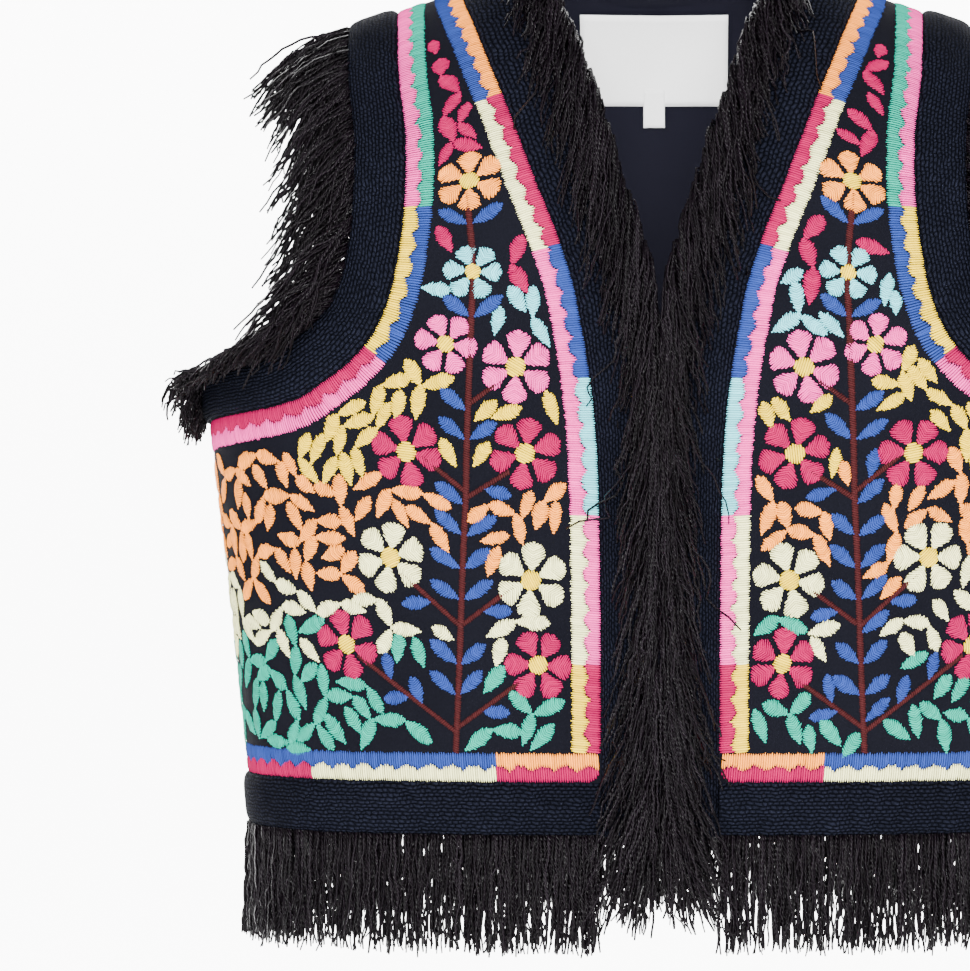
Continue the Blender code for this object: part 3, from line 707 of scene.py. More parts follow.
def makeBackLining():
    spots = backSpots(0.44)
    spots[:, :, 0] = 2 + (spots[:, :, 0] - 2) * 0.985
    inside = -(form["wall"] / 2 + panels["liningGap"])
    points = offForm(spots[..., 0], spots[..., 1], inside)
    item = linkObject("backLining", gridMesh("backLining", points, flatCoordinates(spots)), materials["lining"])
    addThickness(item, panels["liningWall"])
    finishPiece(item, "back_lining")
    print("backLining area", round(flatArea(points), 4))


# Bands


def bandHeights(rows, columns, length):
    # The puffed section, a little uneven along the band.
    across = np.linspace(0.0, 1.0, columns)[None, :]
    along = np.linspace(0.0, length, rows)[:, None]
    puff = (1 - np.abs(2 * across - 1) ** 3.4) ** 0.6
    wave = np.sin(along / 0.0071 + 2.0 * across) + np.sin(along / 0.0113 - 4.0 * across + 1.0)
    return bands["foot"] + (bands["height"] + bands["unevenness"] * wave) * puff


def makeBand(name, node, *parts):
    # Each part is its own pair of outlines, so that no row slants across the shoulder line.
    middle = rowsBetween(*parts[0], 9, 2)
    ends = formPoint(middle[..., 0], middle[..., 1])
    width = float(np.linalg.norm(ends[:, 0] - ends[:, 1], axis=-1).mean())
    columns = int(width / bands["stepAcross"])
    reaches = [max(inner[1][-1], outer[1][-1]) for inner, outer in parts]
    length = sum(reaches)
    runs = [rowsBetween(*part, int(reach / bands["stepAlong"]), columns) for part, reach in zip(parts, reaches)]
    spots = np.concatenate(runs[:1] + [run[1:] for run in runs[1:]])
    rows = len(spots)
    heights = bandHeights(rows, columns, length)
    points = offForm(spots[..., 0], spots[..., 1], form["wall"] / 2 + heights)
    flat = np.broadcast_arrays(np.linspace(0, width, columns)[None, :], np.linspace(0, length, rows)[:, None])
    mesh = gridMesh(name, points, np.stack(flat, axis=-1))
    side, up = formSlopes(spots[2, 2, 0], spots[2, 2, 1])
    faceOutward(mesh, points[2, 2], points[2, 3], points[3, 2], np.cross(side, up))
    finishPiece(linkObject(name, mesh, materials["band"]), node)
    print(name, "width", round(width, 4), "length", round(length, 4), "area", round(flatArea(points), 4))


def makeBands():
    for word, side in (("Right", -1), ("Left", 1)):
        node = word.lower()
        front = (makeCurve("armholeSeamFront", side), makeCurve("armholeEdgeFront", side))
        back = (turnedCurve(makeCurve("armholeSeamBack", side)), turnedCurve(makeCurve("armholeEdgeBack", side)))
        makeBand("armholeBand" + word, "armhole_band_" + node, front, back)
        makeBand("frontBand" + word, "front_band_" + node, (makeCurve("frontEdge", side), makeCurve("frontSeam", side)))
    start = spotAt(form["bandStart"], form["hemZ"], False)[0]
    makeBand("hemBand", "hem_band", (straightLoop(start, hemRise), straightLoop(start, seamRise)))
    makeBand("neckBand", "neck_band", (neckCurve("neckSeamBack"), neckCurve("neckEdgeBack")))


def straightLoop(start, rise):
    # A level line from the right front round the back to the left front.
    around = np.linspace(-start, -4 + start, 400)
    return withLengths(np.stack([around, np.full(400, rise)], axis=-1))


def neckCurve(name):
    half = makeCurve(name)
    other = half[0].copy()
    other[:, 0] = 4 - other[:, 0]
    return joinCurves((other[::-1], None), (half[0][1:], None))


# Stitching: each stitch is a small arched ribbon of thread laid over the cloth

stitching = {
    "pitch": 0.00105,
    "threadWidth": 0.00118,
    "groove": 0.00046,
    "base": 0.00010,
    "puff": 0.00075,
    "ragged": 0.00042,
    "slant": 0.45,
    "borderWidth": 0.0135,
    "scallopPitch": 0.0103,
    "scallopDepth": 0.0013,
}
archSides = np.array([0.10, 0.80, 0.62, 0.80, 0.10])
archFlat = np.array([0.10, 0.80, 0.95, 0.80, 0.10])
fivePlaces = np.linspace(-1.0, 1.0, 5)


def newRun():
    return {"spots": [], "heights": [], "widths": [], "colours": []}


def addStitches(run, spots, heights, colour, width=None):
    # spots: count x 5 x 2 in flat metres; heights: count x 5
    count = len(spots)
    shade = dice.uniform(0.84, 1.10, (count, 1)) * np.asarray(colour)[None, :]
    run["spots"].append(spots)
    run["heights"].append(heights + dice.uniform(-0.00006, 0.00006, (count, 1)))
    run["widths"].append(np.full(count, width or stitching["threadWidth"]) * dice.uniform(0.92, 1.08, count))
    run["colours"].append(shade)


def leafShape(t):
    return (1 - np.abs(2 * t) ** 1.95).clip(0.0) ** 0.88


def petalShape(t):
    u = t + 0.5
    return np.sin(math.pi * u ** 0.92).clip(0.0) ** 0.95 * (0.70 + 0.30 * (u / 0.45).clip(0.0, 1.0))


def discShape(t):
    return np.sqrt((1 - (2 * t) ** 2).clip(0.0))


def heading(angle):
    return np.array([math.cos(angle), math.sin(angle)])


def addLeaf(run, centre, angle, length, width, colour, shape=leafShape, lift=0.0, slant=None, arch=archSides):
    count = max(int(round(length / stitching["pitch"])), 3)
    t = (np.arange(count) + 0.5) / count - 0.5
    half = width / 2 * shape(t)
    axis = heading(angle)
    side = np.array([-axis[1], axis[0]])
    slant = stitching["slant"] if slant is None else slant
    ragged = dice.uniform(-1.0, 1.0, (count, 5)) * stitching["ragged"] * np.abs(fivePlaces)
    across = fivePlaces[None, :] * half[:, None] + ragged * np.sign(fivePlaces)
    back = np.abs(fivePlaces)[None, :] * half[:, None] * slant
    spots = np.asarray(centre) + (t[:, None, None] * length + back[..., None]) * axis + across[..., None] * side
    puff = stitching["puff"] * (half / 0.0024).clip(0.45, 1.15)
    heights = stitching["base"] + lift + arch[None, :] * puff[:, None]
    addStitches(run, spots, heights, colour)


def addStem(run, points, width, colour, lift=0.0002):
    points = np.array(points)
    steps = np.concatenate([[0.0], np.cumsum(np.linalg.norm(np.diff(points, axis=0), axis=1))])
    count = int(steps[-1] / stitching["pitch"])
    at = np.linspace(0.0, steps[-1], count)
    centre = np.stack([np.interp(at, steps, points[:, 0]), np.interp(at, steps, points[:, 1])], axis=-1)
    centre[1:-1] = (centre[:-2] + centre[1:-1] * 2 + centre[2:]) / 4
    along = unit(np.gradient(centre, axis=0))
    side = np.stack([-along[:, 1], along[:, 0]], axis=-1)
    half = width / 2 + dice.uniform(-0.0001, 0.0002, count)
    spots = centre[:, None, :] + fivePlaces[None, :, None] * half[:, None, None] * (side + along * 0.35)[:, None, :]
    heights = stitching["base"] + lift + archFlat[None, :] * stitching["puff"] * np.ones((count, 1))
    addStitches(run, spots, heights, colour)


def addFlower(run, centre, radius, colour, turn):
    core = radius * 0.27
    length = radius - core * 0.72
    for k in range(6):
        angle = turn + math.pi / 3 * k + dice.uniform(-0.05, 0.05)
        reach = length * dice.uniform(0.95, 1.04)
        middle = np.asarray(centre) + heading(angle) * (core * 0.72 + reach / 2)
        addLeaf(run, middle, angle, reach, radius * 0.66 * dice.uniform(0.95, 1.05), colours[colour], petalShape, 0.00035, 0.55)
    addLeaf(run, centre, dice.uniform(0, math.pi), core * 2, core * 2, colours["yellow"], discShape, 0.0008, 0.0, archFlat)


def toRound(spots):
    # Flat metres to places on the form.
    return spots[..., 0] / quarterLength, spots[..., 1]


def lengthsAlong(paths):
    steps = np.linalg.norm(np.diff(paths, axis=1), axis=-1)
    return np.concatenate([np.zeros((len(paths), 1)), np.cumsum(steps, axis=1)], axis=1)


def makeStitching(name, run):
    spots = np.concatenate(run["spots"])
    heights = np.concatenate(run["heights"])
    widths = np.concatenate(run["widths"])
    shades = np.concatenate(run["colours"])
    count = len(spots)
    ends = unit(spots[:, -1] - spots[:, 0])
    side = np.stack([-ends[:, 1], ends[:, 0]], axis=-1)
    taper = np.array([0.62, 1.0, 1.0, 1.0, 0.62]) / 2
    half = (widths[:, None] * taper)[:, :, None, None]
    offset = side[:, None, None, :] * half * np.array([-1.0, 0.0, 1.0])[None, None, :, None]
    flat = spots[:, :, None, :] + offset
    lowered = heights[:, :, None] + np.array([-1.0, 0.0, -1.0])[None, None, :] * stitching["groove"]
    around, rise = toRound(spots)
    slopeSide, slopeUp = formSlopes(around, rise)
    normal = unit(np.cross(slopeSide, slopeUp))
    flatAround, flatRise = toRound(flat)
    points = formPoint(flatAround, np.minimum(flatRise, topRise))
    points = points + normal[:, :, None, :] * (form["wall"] / 2 + lowered)[..., None]
    index = np.arange(count * 15).reshape(count, 5, 3)
    quads = np.stack([index[:, :-1, :-1], index[:, :-1, 1:], index[:, 1:, 1:], index[:, 1:, :-1]], axis=-1).reshape(-1, 4)
    lengths = lengthsAlong(spots)
    start = dice.uniform(0.0, 2.0, (count, 1, 1))
    uvs = np.stack([
        np.broadcast_to(np.array([0.0, 0.5, 1.0])[None, None, :] * widths[:, None, None] + start, (count, 5, 3)),
        np.broadcast_to(lengths[:, :, None] + start, (count, 5, 3)),
    ], axis=-1).reshape(-1, 2)
    mesh = arrayMesh(name, points.reshape(-1, 3), quads, uvs[quads])
    faceOutward(mesh, points[0, 0, 0], points[0, 0, 1], points[0, 1, 0], normal[0, 0])
    colour = np.concatenate([np.repeat(shades, 15, axis=0), np.ones((count * 15, 1))], axis=1)
    pointAttribute(mesh, "threadColor", "FLOAT_COLOR", colour)
    # Marks each stitch's two sides for the painted shade in the thread material.
    edges = np.tile(np.array([1.0, 0.0, 1.0]), count * 5)
    pointAttribute(mesh, "paintedEdgeShade", "FLOAT", edges)
    finishPiece(linkObject(name, mesh, materials["thread"]), None)
    print(name, count, "stitches")


# Borders: two colours side by side with a scalloped join. Upper height of each run, band side, panel side
borderRuns = {
    "front": (
        (-0.324, "magenta", "yellow"),
        (-0.257, "pink", "ivory"),
        (-0.195, "aqua", "pink"),
        (-0.134, "blue", "pink"),
        (-0.065, "magenta", "ivory"),
        (0.020, "peach", "blue"),
    ),
    "armhole": (
        (-0.180, "magenta", "pink"),
        (-0.117, "yellow", "blue"),
        (0.020, "pink", "teal"),
    ),
    # By place round the form, from centre front out: band side below, panel side above.
    "hem": (
        (0.300, "magenta", "peach"),
        (0.660, "ivory", "blue"),
        (1.000, "magenta", "blue"),
        (1.420, "peach", "teal"),
        (1.780, "pink", "yellow"),
        (2.000, "ivory", "blue"),
    ),
    "side": (
        (-0.302, "pink", "ivory"),
        (-0.254, "magenta", "pink"),
        (-0.200, "yellow", "peach"),
    ),
}


def pickColour(runs, at):
    for limit, bandSide, panelSide in runs:
        if at <= limit:
            return bandSide, panelSide
    return runs[-1][1:]


def addBorder(run, curve, first, last, toward, runs, byRound=False, corner=0.0):
    # Stitches square off a line, in two strips, from one length along it to another.
    count = int((last - first) / stitching["pitch"])
    at = first + (np.arange(count) + 0.5) * (last - first) / count
    spots = alongCurve(curve, at)
    steps = crossSteps(spots, toward) * np.array([quarterLength, 1.0])
    base = flatCoordinates(spots)
    measure = np.abs(wrapped(spots[:, 0])) if byRound else heightOfRise(spots[:, 1], spots[:, 0])
    whole = stitching["borderWidth"]
    join = whole / 2 + stitching["scallopDepth"] * (np.abs(np.sin(math.pi * at / stitching["scallopPitch"])) * 2 - 1.2)
    near = dice.uniform(-1, 1, count) * stitching["ragged"] * 0.6 + 0.0004
    if corner:
        inside = (corner - np.minimum(at - first, corner)).clip(0.0)
        near += corner - np.sqrt(corner ** 2 - inside ** 2)
    far = whole + dice.uniform(-1, 1, count) * stitching["ragged"]
    middle = join + dice.uniform(-1, 1, count) * stitching["ragged"] * 1.4
    f = np.linspace(0.0, 1.0, 5)[None, :]
    along = unit(np.gradient(base, axis=0))
    for begin, end, which in ((near, middle + 0.0002, 0), (middle - 0.0002, far, 1)):
        reach = begin[:, None] + (end - begin)[:, None] * f
        placed = base[:, None, :] + steps[:, None, :] * reach[..., None] + along[:, None, :] * (f * 0.0006)[..., None]
        names = [pickColour(runs, value)[which] for value in measure]
        heights = stitching["base"] + archFlat[None, :] * stitching["puff"] * np.ones((count, 1)) * 0.9
        addStitches(run, placed, heights, np.array([1.0, 1.0, 1.0]))
        run["colours"][-1] = run["colours"][-1] * np.array([colours[colourName] for colourName in names])


def frontBorders(run, side):
    seam = makeCurve("frontSeam", side)
    wide = stitching["borderWidth"]
    top = seam[1][-1] - 0.001
    low = lengthAtHeight(seam, form["hemSeamZ"]) + wide
    addBorder(run, seam, low, top, side, borderRuns["front"])
    armhole = makeCurve("armholeSeamFront", side)
    addBorder(run, armhole, 0.0005, armhole[1][-1] - 0.001, -side, borderRuns["armhole"])
    start = spotAt(form["bandStart"], form["hemZ"], False)[0]
    hem = straightCurve((start * side, seamRise), (side * (1 - panels["seamGap"]), seamRise))
    addBorder(run, hem, 0.0005, hem[1][-1], -side, borderRuns["hem"], True, 0.0055)
    low = seamRise + wide
    high = form["armholeSeamZ"] - form["chestZ"] - wide
    strip = straightCurve((side * 0.998, low), (side * 0.998, high))
    addBorder(run, strip, 0.0, strip[1][-1], -side, borderRuns["side"])


def backBorders(run):
    for side in (-1, 1):
        armhole = makeCurve("armholeSeamBack", side)
        addBorder(run, armhole, 0.0005, armhole[1][-1] - 0.001, side, borderRuns["armhole"])
        neck = makeCurve("neckSeamBack")
        line = neck[0].copy()
        line[:, 0] = line[:, 0] if side > 0 else 4 - line[:, 0]
        addBorder(run, (line, neck[1]), 0.0, neck[1][-1] - 0.001, side, borderRuns["front"][-2:])
        hem = straightCurve((side * (1 + panels["seamGap"]), seamRise), (side * 2.0, seamRise))
        addBorder(run, hem, 0.0, hem[1][-1], -side, borderRuns["hem"], True)


# The flowering tree on each front panel. across, height, radius, colour
tree = {
    "flowers": (
        (0.086, -0.106, 0.0156, "peach"),
        (0.084, -0.147, 0.0132, "aqua"),
        (0.096, -0.180, 0.0145, "pink"),
        (0.065, -0.190, 0.0165, "pink"),
        (0.114, -0.228, 0.0165, "magenta"),
        (0.060, -0.229, 0.0165, "magenta"),
        (0.121, -0.275, 0.0166, "ivory"),
        (0.058, -0.286, 0.0170, "ivory"),
        (0.141, -0.315, 0.0160, "magenta"),
        (0.055, -0.323, 0.0162, "magenta"),
    ),
    "trunk": (
        (0.092, -0.363), (0.0900, -0.318), (0.0885, -0.277), (0.087, -0.245),
        (0.086, -0.205), (0.0840, -0.154), (0.0845, -0.136), (0.087, -0.112),
    ),
    "branches": (
        ((0.085, -0.206), (0.072, -0.1965)),
        ((0.087, -0.246), (0.107, -0.2300)),
        ((0.086, -0.248), (0.068, -0.2370)),
        ((0.090, -0.306), (0.116, -0.2825)),
        ((0.088, -0.305), (0.066, -0.2885)),
        ((0.092, -0.354), (0.136, -0.3200)),
        ((0.091, -0.352), (0.061, -0.3300)),
    ),
    "pairHeights": (
        -0.126, -0.168, -0.197, -0.210, -0.223, -0.238, -0.252,
        -0.266, -0.281, -0.295, -0.310, -0.324, -0.338, -0.350,
    ),
    # upper height, lower height, colour, how many at most, size, farthest across if not the whole panel
    "zones": (
        (-0.022, -0.158, "magenta", 22, 1.08, None),
        (-0.022, -0.100, "magenta", 14, 0.88, None),
        (-0.150, -0.184, "aqua", 16, 1.0, None),
        (-0.180, -0.238, "yellow", 38, 1.0, 0.160),
        (-0.236, -0.286, "peach", 50, 1.0, None),
        (-0.272, -0.318, "ivory", 44, 1.0, None),
        (-0.306, -0.364, "teal", 84, 1.03, None),
        (-0.180, -0.240, "yellow", 16, 0.92, 0.160),
        (-0.150, -0.190, "aqua", 10, 0.92, None),
        (-0.236, -0.290, "peach", 24, 0.92, None),
        (-0.272, -0.320, "ivory", 20, 0.92, None),
        (-0.030, -0.160, "magenta", 10, 0.95, None),
    ),
    "middle": 0.080,
    "trunkAcross": 0.086,
    "leafLength": (0.0128, 0.0168),
    "leafWidth": (0.0062, 0.0074),
    "pairLength": (0.0145, 0.0170),
    "pairWidth": (0.0060, 0.0068),
    "pairAngle": (0.80, 1.05),
    "branchLength": (0.0125, 0.0150),
    "branchWidth": (0.0058, 0.0066),
    "branchAngle": (0.55, 0.85),
    # share along the branch, which side
    "branchPlaces": ((0.34, 1), (0.46, -1), (0.66, 1), (0.76, -1)),
    "closeness": 0.34,
    "tries": 460,
    "overlap": 0.006,
    "trunkWidth": 0.0029,
    "stemWidth": 0.0022,
    "leafLift": 0.00028,
}


def flatAt(across, height):
    around, rise = spotAt(across, height, False)
    return np.array([around * quarterLength, rise])


def panelOutline():
    # The panel inside its borders, as a closed flat line on the wearer's left.
    wide = stitching["borderWidth"]
    front = makeCurve("frontSeam")
    at = np.linspace(lengthAtHeight(front, form["hemSeamZ"]), front[1][-1] * 0.97, 60)
    spots = alongCurve(front, at)
    left = flatCoordinates(spots + crossSteps(spots, 1) * wide)
    armhole = makeCurve("armholeSeamFront")
    at = np.linspace(armhole[1][-1] * 0.97, 0.0, 60)
    spots = alongCurve(armhole, at)
    right = flatCoordinates(spots + crossSteps(spots, 1) * wide)
    low = seamRise + wide
    right[:, 0] = np.minimum(right[:, 0], quarterLength - wide)
    left[:, 1] = np.maximum(left[:, 1], low)
    return np.concatenate([left, right, [[quarterLength - wide, low]]])


def insideOutline(points, line):
    x, y = points[:, 0:1], points[:, 1:2]
    x1, y1 = line[:, 0], line[:, 1]
    x2, y2 = np.roll(x1, -1), np.roll(y1, -1)
    crossing = ((y1 > y) != (y2 > y)) & (x < (x2 - x1) * (y - y1) / (y2 - y1 + 1e-15) + x1)
    return crossing.sum(axis=1) % 2 == 1


def distanceToLine(points, line):
    return np.linalg.norm(points[:, None, :] - line[None, :, :], axis=-1).min()


def capsule(centre, angle, length, width):
    # Five spots down the middle of a leaf.
    f = np.linspace(-0.5, 0.5, 5)[:, None]
    return np.asarray(centre) + f * max(length - width, 0.001) * heading(angle)


def growLeaves(taken, line):
    # Scattered sprigs in zones of colour: a leaf where there is room, then more leaves from its ends.
    leaves = []
    starts = np.linspace(0, 1, 6)[:, None]
    dense = np.concatenate([a + (b - a) * starts for a, b in zip(line, np.roll(line, -1, axis=0))])
    low, high = line.min(axis=0), line.max(axis=0)

    def tryLeaf(centre, angle, length, width, parent):
        spots = capsule(centre, angle, length, width)
        if not insideOutline(spots, line).all() or distanceToLine(spots, dense) < width * 0.50:
            return False
        if not hasRoom(taken, spots, width * tree["closeness"], parent):
            return False
        takeRoom(taken, spots, width * tree["closeness"])
        leaves.append((centre, angle, length, width, colour, taken["owner"][-1]))
        return True

    for upper, lower, colour, most, size, across in tree["zones"]:
        placed = 0
        bottom = flatAt(tree["middle"], lower)[1] - tree["overlap"]
        top = flatAt(tree["middle"], upper)[1] + tree["overlap"]
        farthest = flatAt(across, lower)[0] if across else high[0]
        for attempt in range(tree["tries"]):
            if placed >= most:
                break
            rise = flatAt(tree["middle"], dice.uniform(lower, upper))[1]
            centre = np.array([dice.uniform(low[0], farthest), rise])
            angle = math.pi / 2 + dice.normal(0.0, 0.8)
            length, width = dice.uniform(*tree["leafLength"]) * size, dice.uniform(*tree["leafWidth"]) * size
            if not tryLeaf(centre, angle, length, width, -1):
                continue
            placed += 1
            for turn in range(10):
                parent = leaves[-1] if turn < 6 else leaves[-min(2, placed)]
                length, width = dice.uniform(*tree["leafLength"]) * size, dice.uniform(*tree["leafWidth"]) * size
                angle = parent[1] + dice.choice([-1, 1]) * dice.uniform(0.35, 1.25)
                centre = parent[0] + heading(parent[1]) * parent[2] * 0.46 + heading(angle) * length * 0.50
                if not bottom < centre[1] < top or centre[0] > farthest:
                    continue
                if tryLeaf(centre, angle, length, width, parent[5]):
                    placed += 1
    return leaves


def hasRoom(taken, spots, margin, parent=-2):
    near = taken["owner"] != parent
    gaps = np.linalg.norm(taken["spots"][near][:, None, :] - spots[None, :, :], axis=-1).min(axis=1)
    return not (gaps < taken["radii"][near] + margin).any()


def takeRoom(taken, spots, radius):
    owner = taken["owner"][-1] + 1 if len(taken["owner"]) else 0
    taken["spots"] = np.concatenate([taken["spots"], spots])
    taken["radii"] = np.concatenate([taken["radii"], np.full(len(spots), radius)])
    taken["owner"] = np.concatenate([taken["owner"], np.full(len(spots), owner)])


def makeTree(name, side):
    run = newRun()
    flip = np.array([side, 1.0])
    line = panelOutline()
    trunk = np.array([flatAt(*spot) for spot in tree["trunk"]])
    taken = {"spots": np.zeros((0, 2)), "radii": np.zeros(0), "owner": np.zeros(0, int)}
    branchLines = [np.array([flatAt(*a), flatAt(*b)]) for a, b in tree["branches"]]
    flowers = []
    for across, height, radius, colour in tree["flowers"]:
        centre = flatAt(across, height) + dice.uniform(-0.0006, 0.0006, 2)
        flowers.append((centre, radius, colour))
        takeRoom(taken, centre[None, :], radius * 0.93)
    for path in branchLines:
        takeRoom(taken, path[0] + (path[1] - path[0]) * np.linspace(0, 1, 10)[:, None], 0.0012)
    pairs = []
    for height in tree["pairHeights"]:
        rise = flatAt(tree["trunkAcross"], height)[1]
        middle = np.array([np.interp(rise, trunk[:, 1], trunk[:, 0]), rise])
        for way in (-1, 1):
            angle = math.pi / 2 - way * dice.uniform(*tree["pairAngle"])
            length, width = dice.uniform(*tree["pairLength"]), dice.uniform(*tree["pairWidth"])
            centre = middle + heading(angle) * (length / 2 + 0.0012)
            spots = capsule(centre, angle, length, width)
            if hasRoom(taken, spots, width * 0.30):
                takeRoom(taken, spots, width * 0.40)
                pairs.append((centre, angle, length, width, "blue"))
    for path in branchLines[1:]:
        along = path[1] - path[0]
        lean = math.atan2(along[1], along[0])
        for share, way in tree["branchPlaces"]:
            angle = lean + way * dice.uniform(*tree["branchAngle"])
            length, width = dice.uniform(*tree["branchLength"]), dice.uniform(*tree["branchWidth"])
            centre = path[0] + along * share + heading(angle) * (length / 2 + 0.0008)
            spots = capsule(centre, angle, length, width)
            if hasRoom(taken, spots[1:], width * 0.34):
                takeRoom(taken, spots, width * 0.40)
                pairs.append((centre, angle, length, width, "blue"))
    for a, b in zip(trunk, trunk[1:]):
        takeRoom(taken, a + (b - a) * np.linspace(0, 1, 10)[:, None], 0.0014)
    leaves = growLeaves(taken, line)
    for path, width in [(trunk, tree["trunkWidth"])] + [(path, tree["stemWidth"]) for path in branchLines]:
        addStem(run, path * flip, width, colours["brown"])
    for leaf in pairs + leaves:
        centre, angle, length, width, colour = leaf[:5]
        turned = angle if side > 0 else math.pi - angle
        addLeaf(run, centre * flip, turned, length, width, colours[colour], lift=dice.uniform(0.0, tree["leafLift"]))
    for centre, radius, colour in flowers:
        addFlower(run, centre * flip, radius, colour, dice.uniform(0.0, math.pi / 3))
    makeStitching(name, run)
    print(name, len(pairs), "stem leaves,", len(leaves), "scattered leaves")


# Fringe: crinkled strands of twisted yarn that gather into locks

fringe = {
    "segments": 12,
    "sides": 3,
    "radius": 0.00060,
    "crinkle": 0.00045,
    "hemStrands": 2640,
    "frontStrands": 1270,
    "armholeStrands": 1230,
    "neckStrands": 260,
    "hemLength": 0.051,
    "frontLength": 0.052,
    "neckLength": 0.046,
    "hemReach": (0.88, 1.07),
    "frontReach": (0.80, 1.05),
    "neckReach": (0.82, 1.04),
    "armholeReach": (0.78, 1.05),
    "hemLock": 0.0078,
    "armholeLock": 0.0085,
    "frontLayer": (0.0065, 0.0160),
    "neckLayer": (0.0062, 0.0138),
    "rootLift": 0.0030,
    "rise": 0.16,
    "strays": 7,
    "straySpread": (0.022, 0.040),
    "straySway": 0.0040,
    # height, how far the front strands lean in past the edge
    "leans": (
        (-0.460, 0.0046), (-0.300, 0.0050), (-0.200, 0.0058), (-0.150, 0.0058), (-0.115, 0.0046), (0.020, 0.0042),
    ),
    # height, how far they spread over the band
    "spreads": (
        (-0.460, 0.0185), (-0.400, 0.0180), (-0.340, 0.0150), (-0.270, 0.0100), (-0.180, 0.0090), (0.020, 0.0085),
    ),
    # Along the armhole, from underarm to shoulder: how much of the inner strands' own fall is used
    "inner": ((0.0, 0.30, 0.45, 0.60), (0.04, 0.08, 0.40, 1.0)),
    # how much farther out they reach, and how much they bow out before they droop
    "room": ((0.86, 1.0), (1.0, 1.14)),
    "bow": ((0.35, 0.50), (0.62, 0.15)),
    "innerDraw": 0.72,
    "farthestOut": 0.050,
    # along, outward, drop, lift off the body
    "armholeFall": (
        (0.00, 0.006, 0.028, 0.0040),
        (0.10, 0.010, 0.026, 0.0050),
        (0.16, 0.020, 0.014, 0.0060),
        (0.22, 0.028, 0.010, 0.0060),
        (0.30, 0.038, 0.012, 0.0080),
        (0.42, 0.046, 0.026, 0.0120),
        (0.55, 0.042, 0.038, 0.0125),
        (0.70, 0.038, 0.042, 0.0100),
        (1.00, 0.045, 0.036, 0.0075),
    ),
}
strandPlaces = np.linspace(0.0, 1.0, fringe["segments"] + 1)


def makeStrands(name, node, paths, sways=0.0007):
    # Three-sided tubes along the paths, thinner at their tips.
    count, steps = paths.shape[:2]
    wave = dice.normal(0.0, fringe["crinkle"], paths.shape) * np.minimum(strandPlaces * 6, 1.0)[None, :, None]
    phase = dice.uniform(0.0, 2 * math.pi, (count, 1, 3))
    turns = dice.uniform(1.0, 2.6, (count, 1, 3))
    size = dice.normal(0.0, 1.0, (count, 1, 3)) * np.broadcast_to(sways, (count,))[:, None, None]
    slow = np.sin(2 * math.pi * turns * strandPlaces[None, :, None] + phase) * size
    paths = paths + wave + slow * strandPlaces[None, :, None]
    along = unit(np.gradient(paths, axis=1))
    first = unit(np.cross(along, dice.normal(0.0, 1.0, (count, 1, 3))))
    second = np.cross(along, first)
    radius = fringe["radius"] * dice.uniform(0.80, 1.25, (count, 1)) * (1.0 - 0.30 * strandPlaces ** 6)[None, :]
    sides = fringe["sides"]
    corner = 2 * math.pi * np.arange(sides) / sides
    cosine, sine = np.cos(corner)[None, None, :, None], np.sin(corner)[None, None, :, None]
    ring = first[:, :, None, :] * cosine + second[:, :, None, :] * sine
    points = paths[:, :, None, :] + ring * radius[:, :, None, None]
    index = np.arange(count * steps * sides).reshape(count, steps, sides)
    beside = np.roll(index, -1, axis=2)
    quads = np.stack([index[:, :-1], beside[:, :-1], beside[:, 1:], index[:, 1:]], axis=-1).reshape(-1, 4)
    lengths = lengthsAlong(paths)
    low = np.broadcast_to(lengths[:, :-1, None], (count, steps - 1, sides))
    high = np.broadcast_to(lengths[:, 1:, None], (count, steps - 1, sides))
    left = np.broadcast_to((np.arange(sides) / sides)[None, None, :], low.shape)
    right = left + 1 / sides
    corners = ((left, low), (right, low), (right, high), (left, high))
    uvs = np.stack([np.stack(pair, -1) for pair in corners], axis=3).reshape(-1, 2)
    caps = np.concatenate([index[:, 0, ::-1], index[:, -1]])
    mesh = arrayMesh(name, points.reshape(-1, 3), quads, np.concatenate([uvs, np.zeros((caps.size, 2))]), caps)
    tone = np.repeat(dice.uniform(0.50, 1.70, count), steps * sides)
    pointAttribute(mesh, "strandTone", "FLOAT", tone)
    item = linkObject(name, mesh, materials["fringe"])
    finishPiece(item, node)
    print(name, count, "strands,", len(quads) * 2 + len(caps), "triangles")


def gathered(at, spacing, share):
    # Where each strand's tip is drawn to: the middle of its lock, by a share of the way.
    lock = (np.floor(at / spacing) + 0.5) * spacing + dice.uniform(-0.2, 0.2) * spacing
    return (lock - at) * share


def liftOver(layer):
    # Each strand rises from its root to its own layer over the band.
    low = fringe["rootLift"]
    return low + (layer - low) * np.minimum(strandPlaces[None, :] / fringe["rise"], 1.0) ** 0.7


def makeHemFringe():
    start = spotAt(form["bandStart"], form["hemZ"], False)[0]
    edge = straightLoop(start, hemRise)
    count = fringe["hemStrands"]
    at = np.sort(dice.uniform(0.0005, edge[1][-1] - 0.0005, count))
    spots = alongCurve(edge, at)
    side, up = formSlopes(spots[:, 0], spots[:, 1])
    along = unit(side)
    out = unit(np.cross(side, up))
    root = formPoint(spots[:, 0], spots[:, 1]) + out * dice.uniform(-0.0010, 0.0036, (count, 1))
    root[:, 2] += 0.0006
    t = strandPlaces[None, :, None]
    length = fringe["hemLength"] * dice.uniform(*fringe["hemReach"], (count, 1, 1))
    draw = gathered(at, fringe["hemLock"], dice.uniform(0.0, 0.36, count))[:, None, None]
    sway = dice.normal(0.0, 0.0020, (count, 1, 1)) - draw
    outward = dice.normal(0.0006, 0.0016, (count, 1, 1))
    down = np.array([0.0, 0.0, -1.0])
    paths = root[:, None, :] + down * length * t + along[:, None, :] * sway * t ** 1.6 + out[:, None, :] * outward * t
    makeStrands("fringeHem", "fringe_hem", paths)


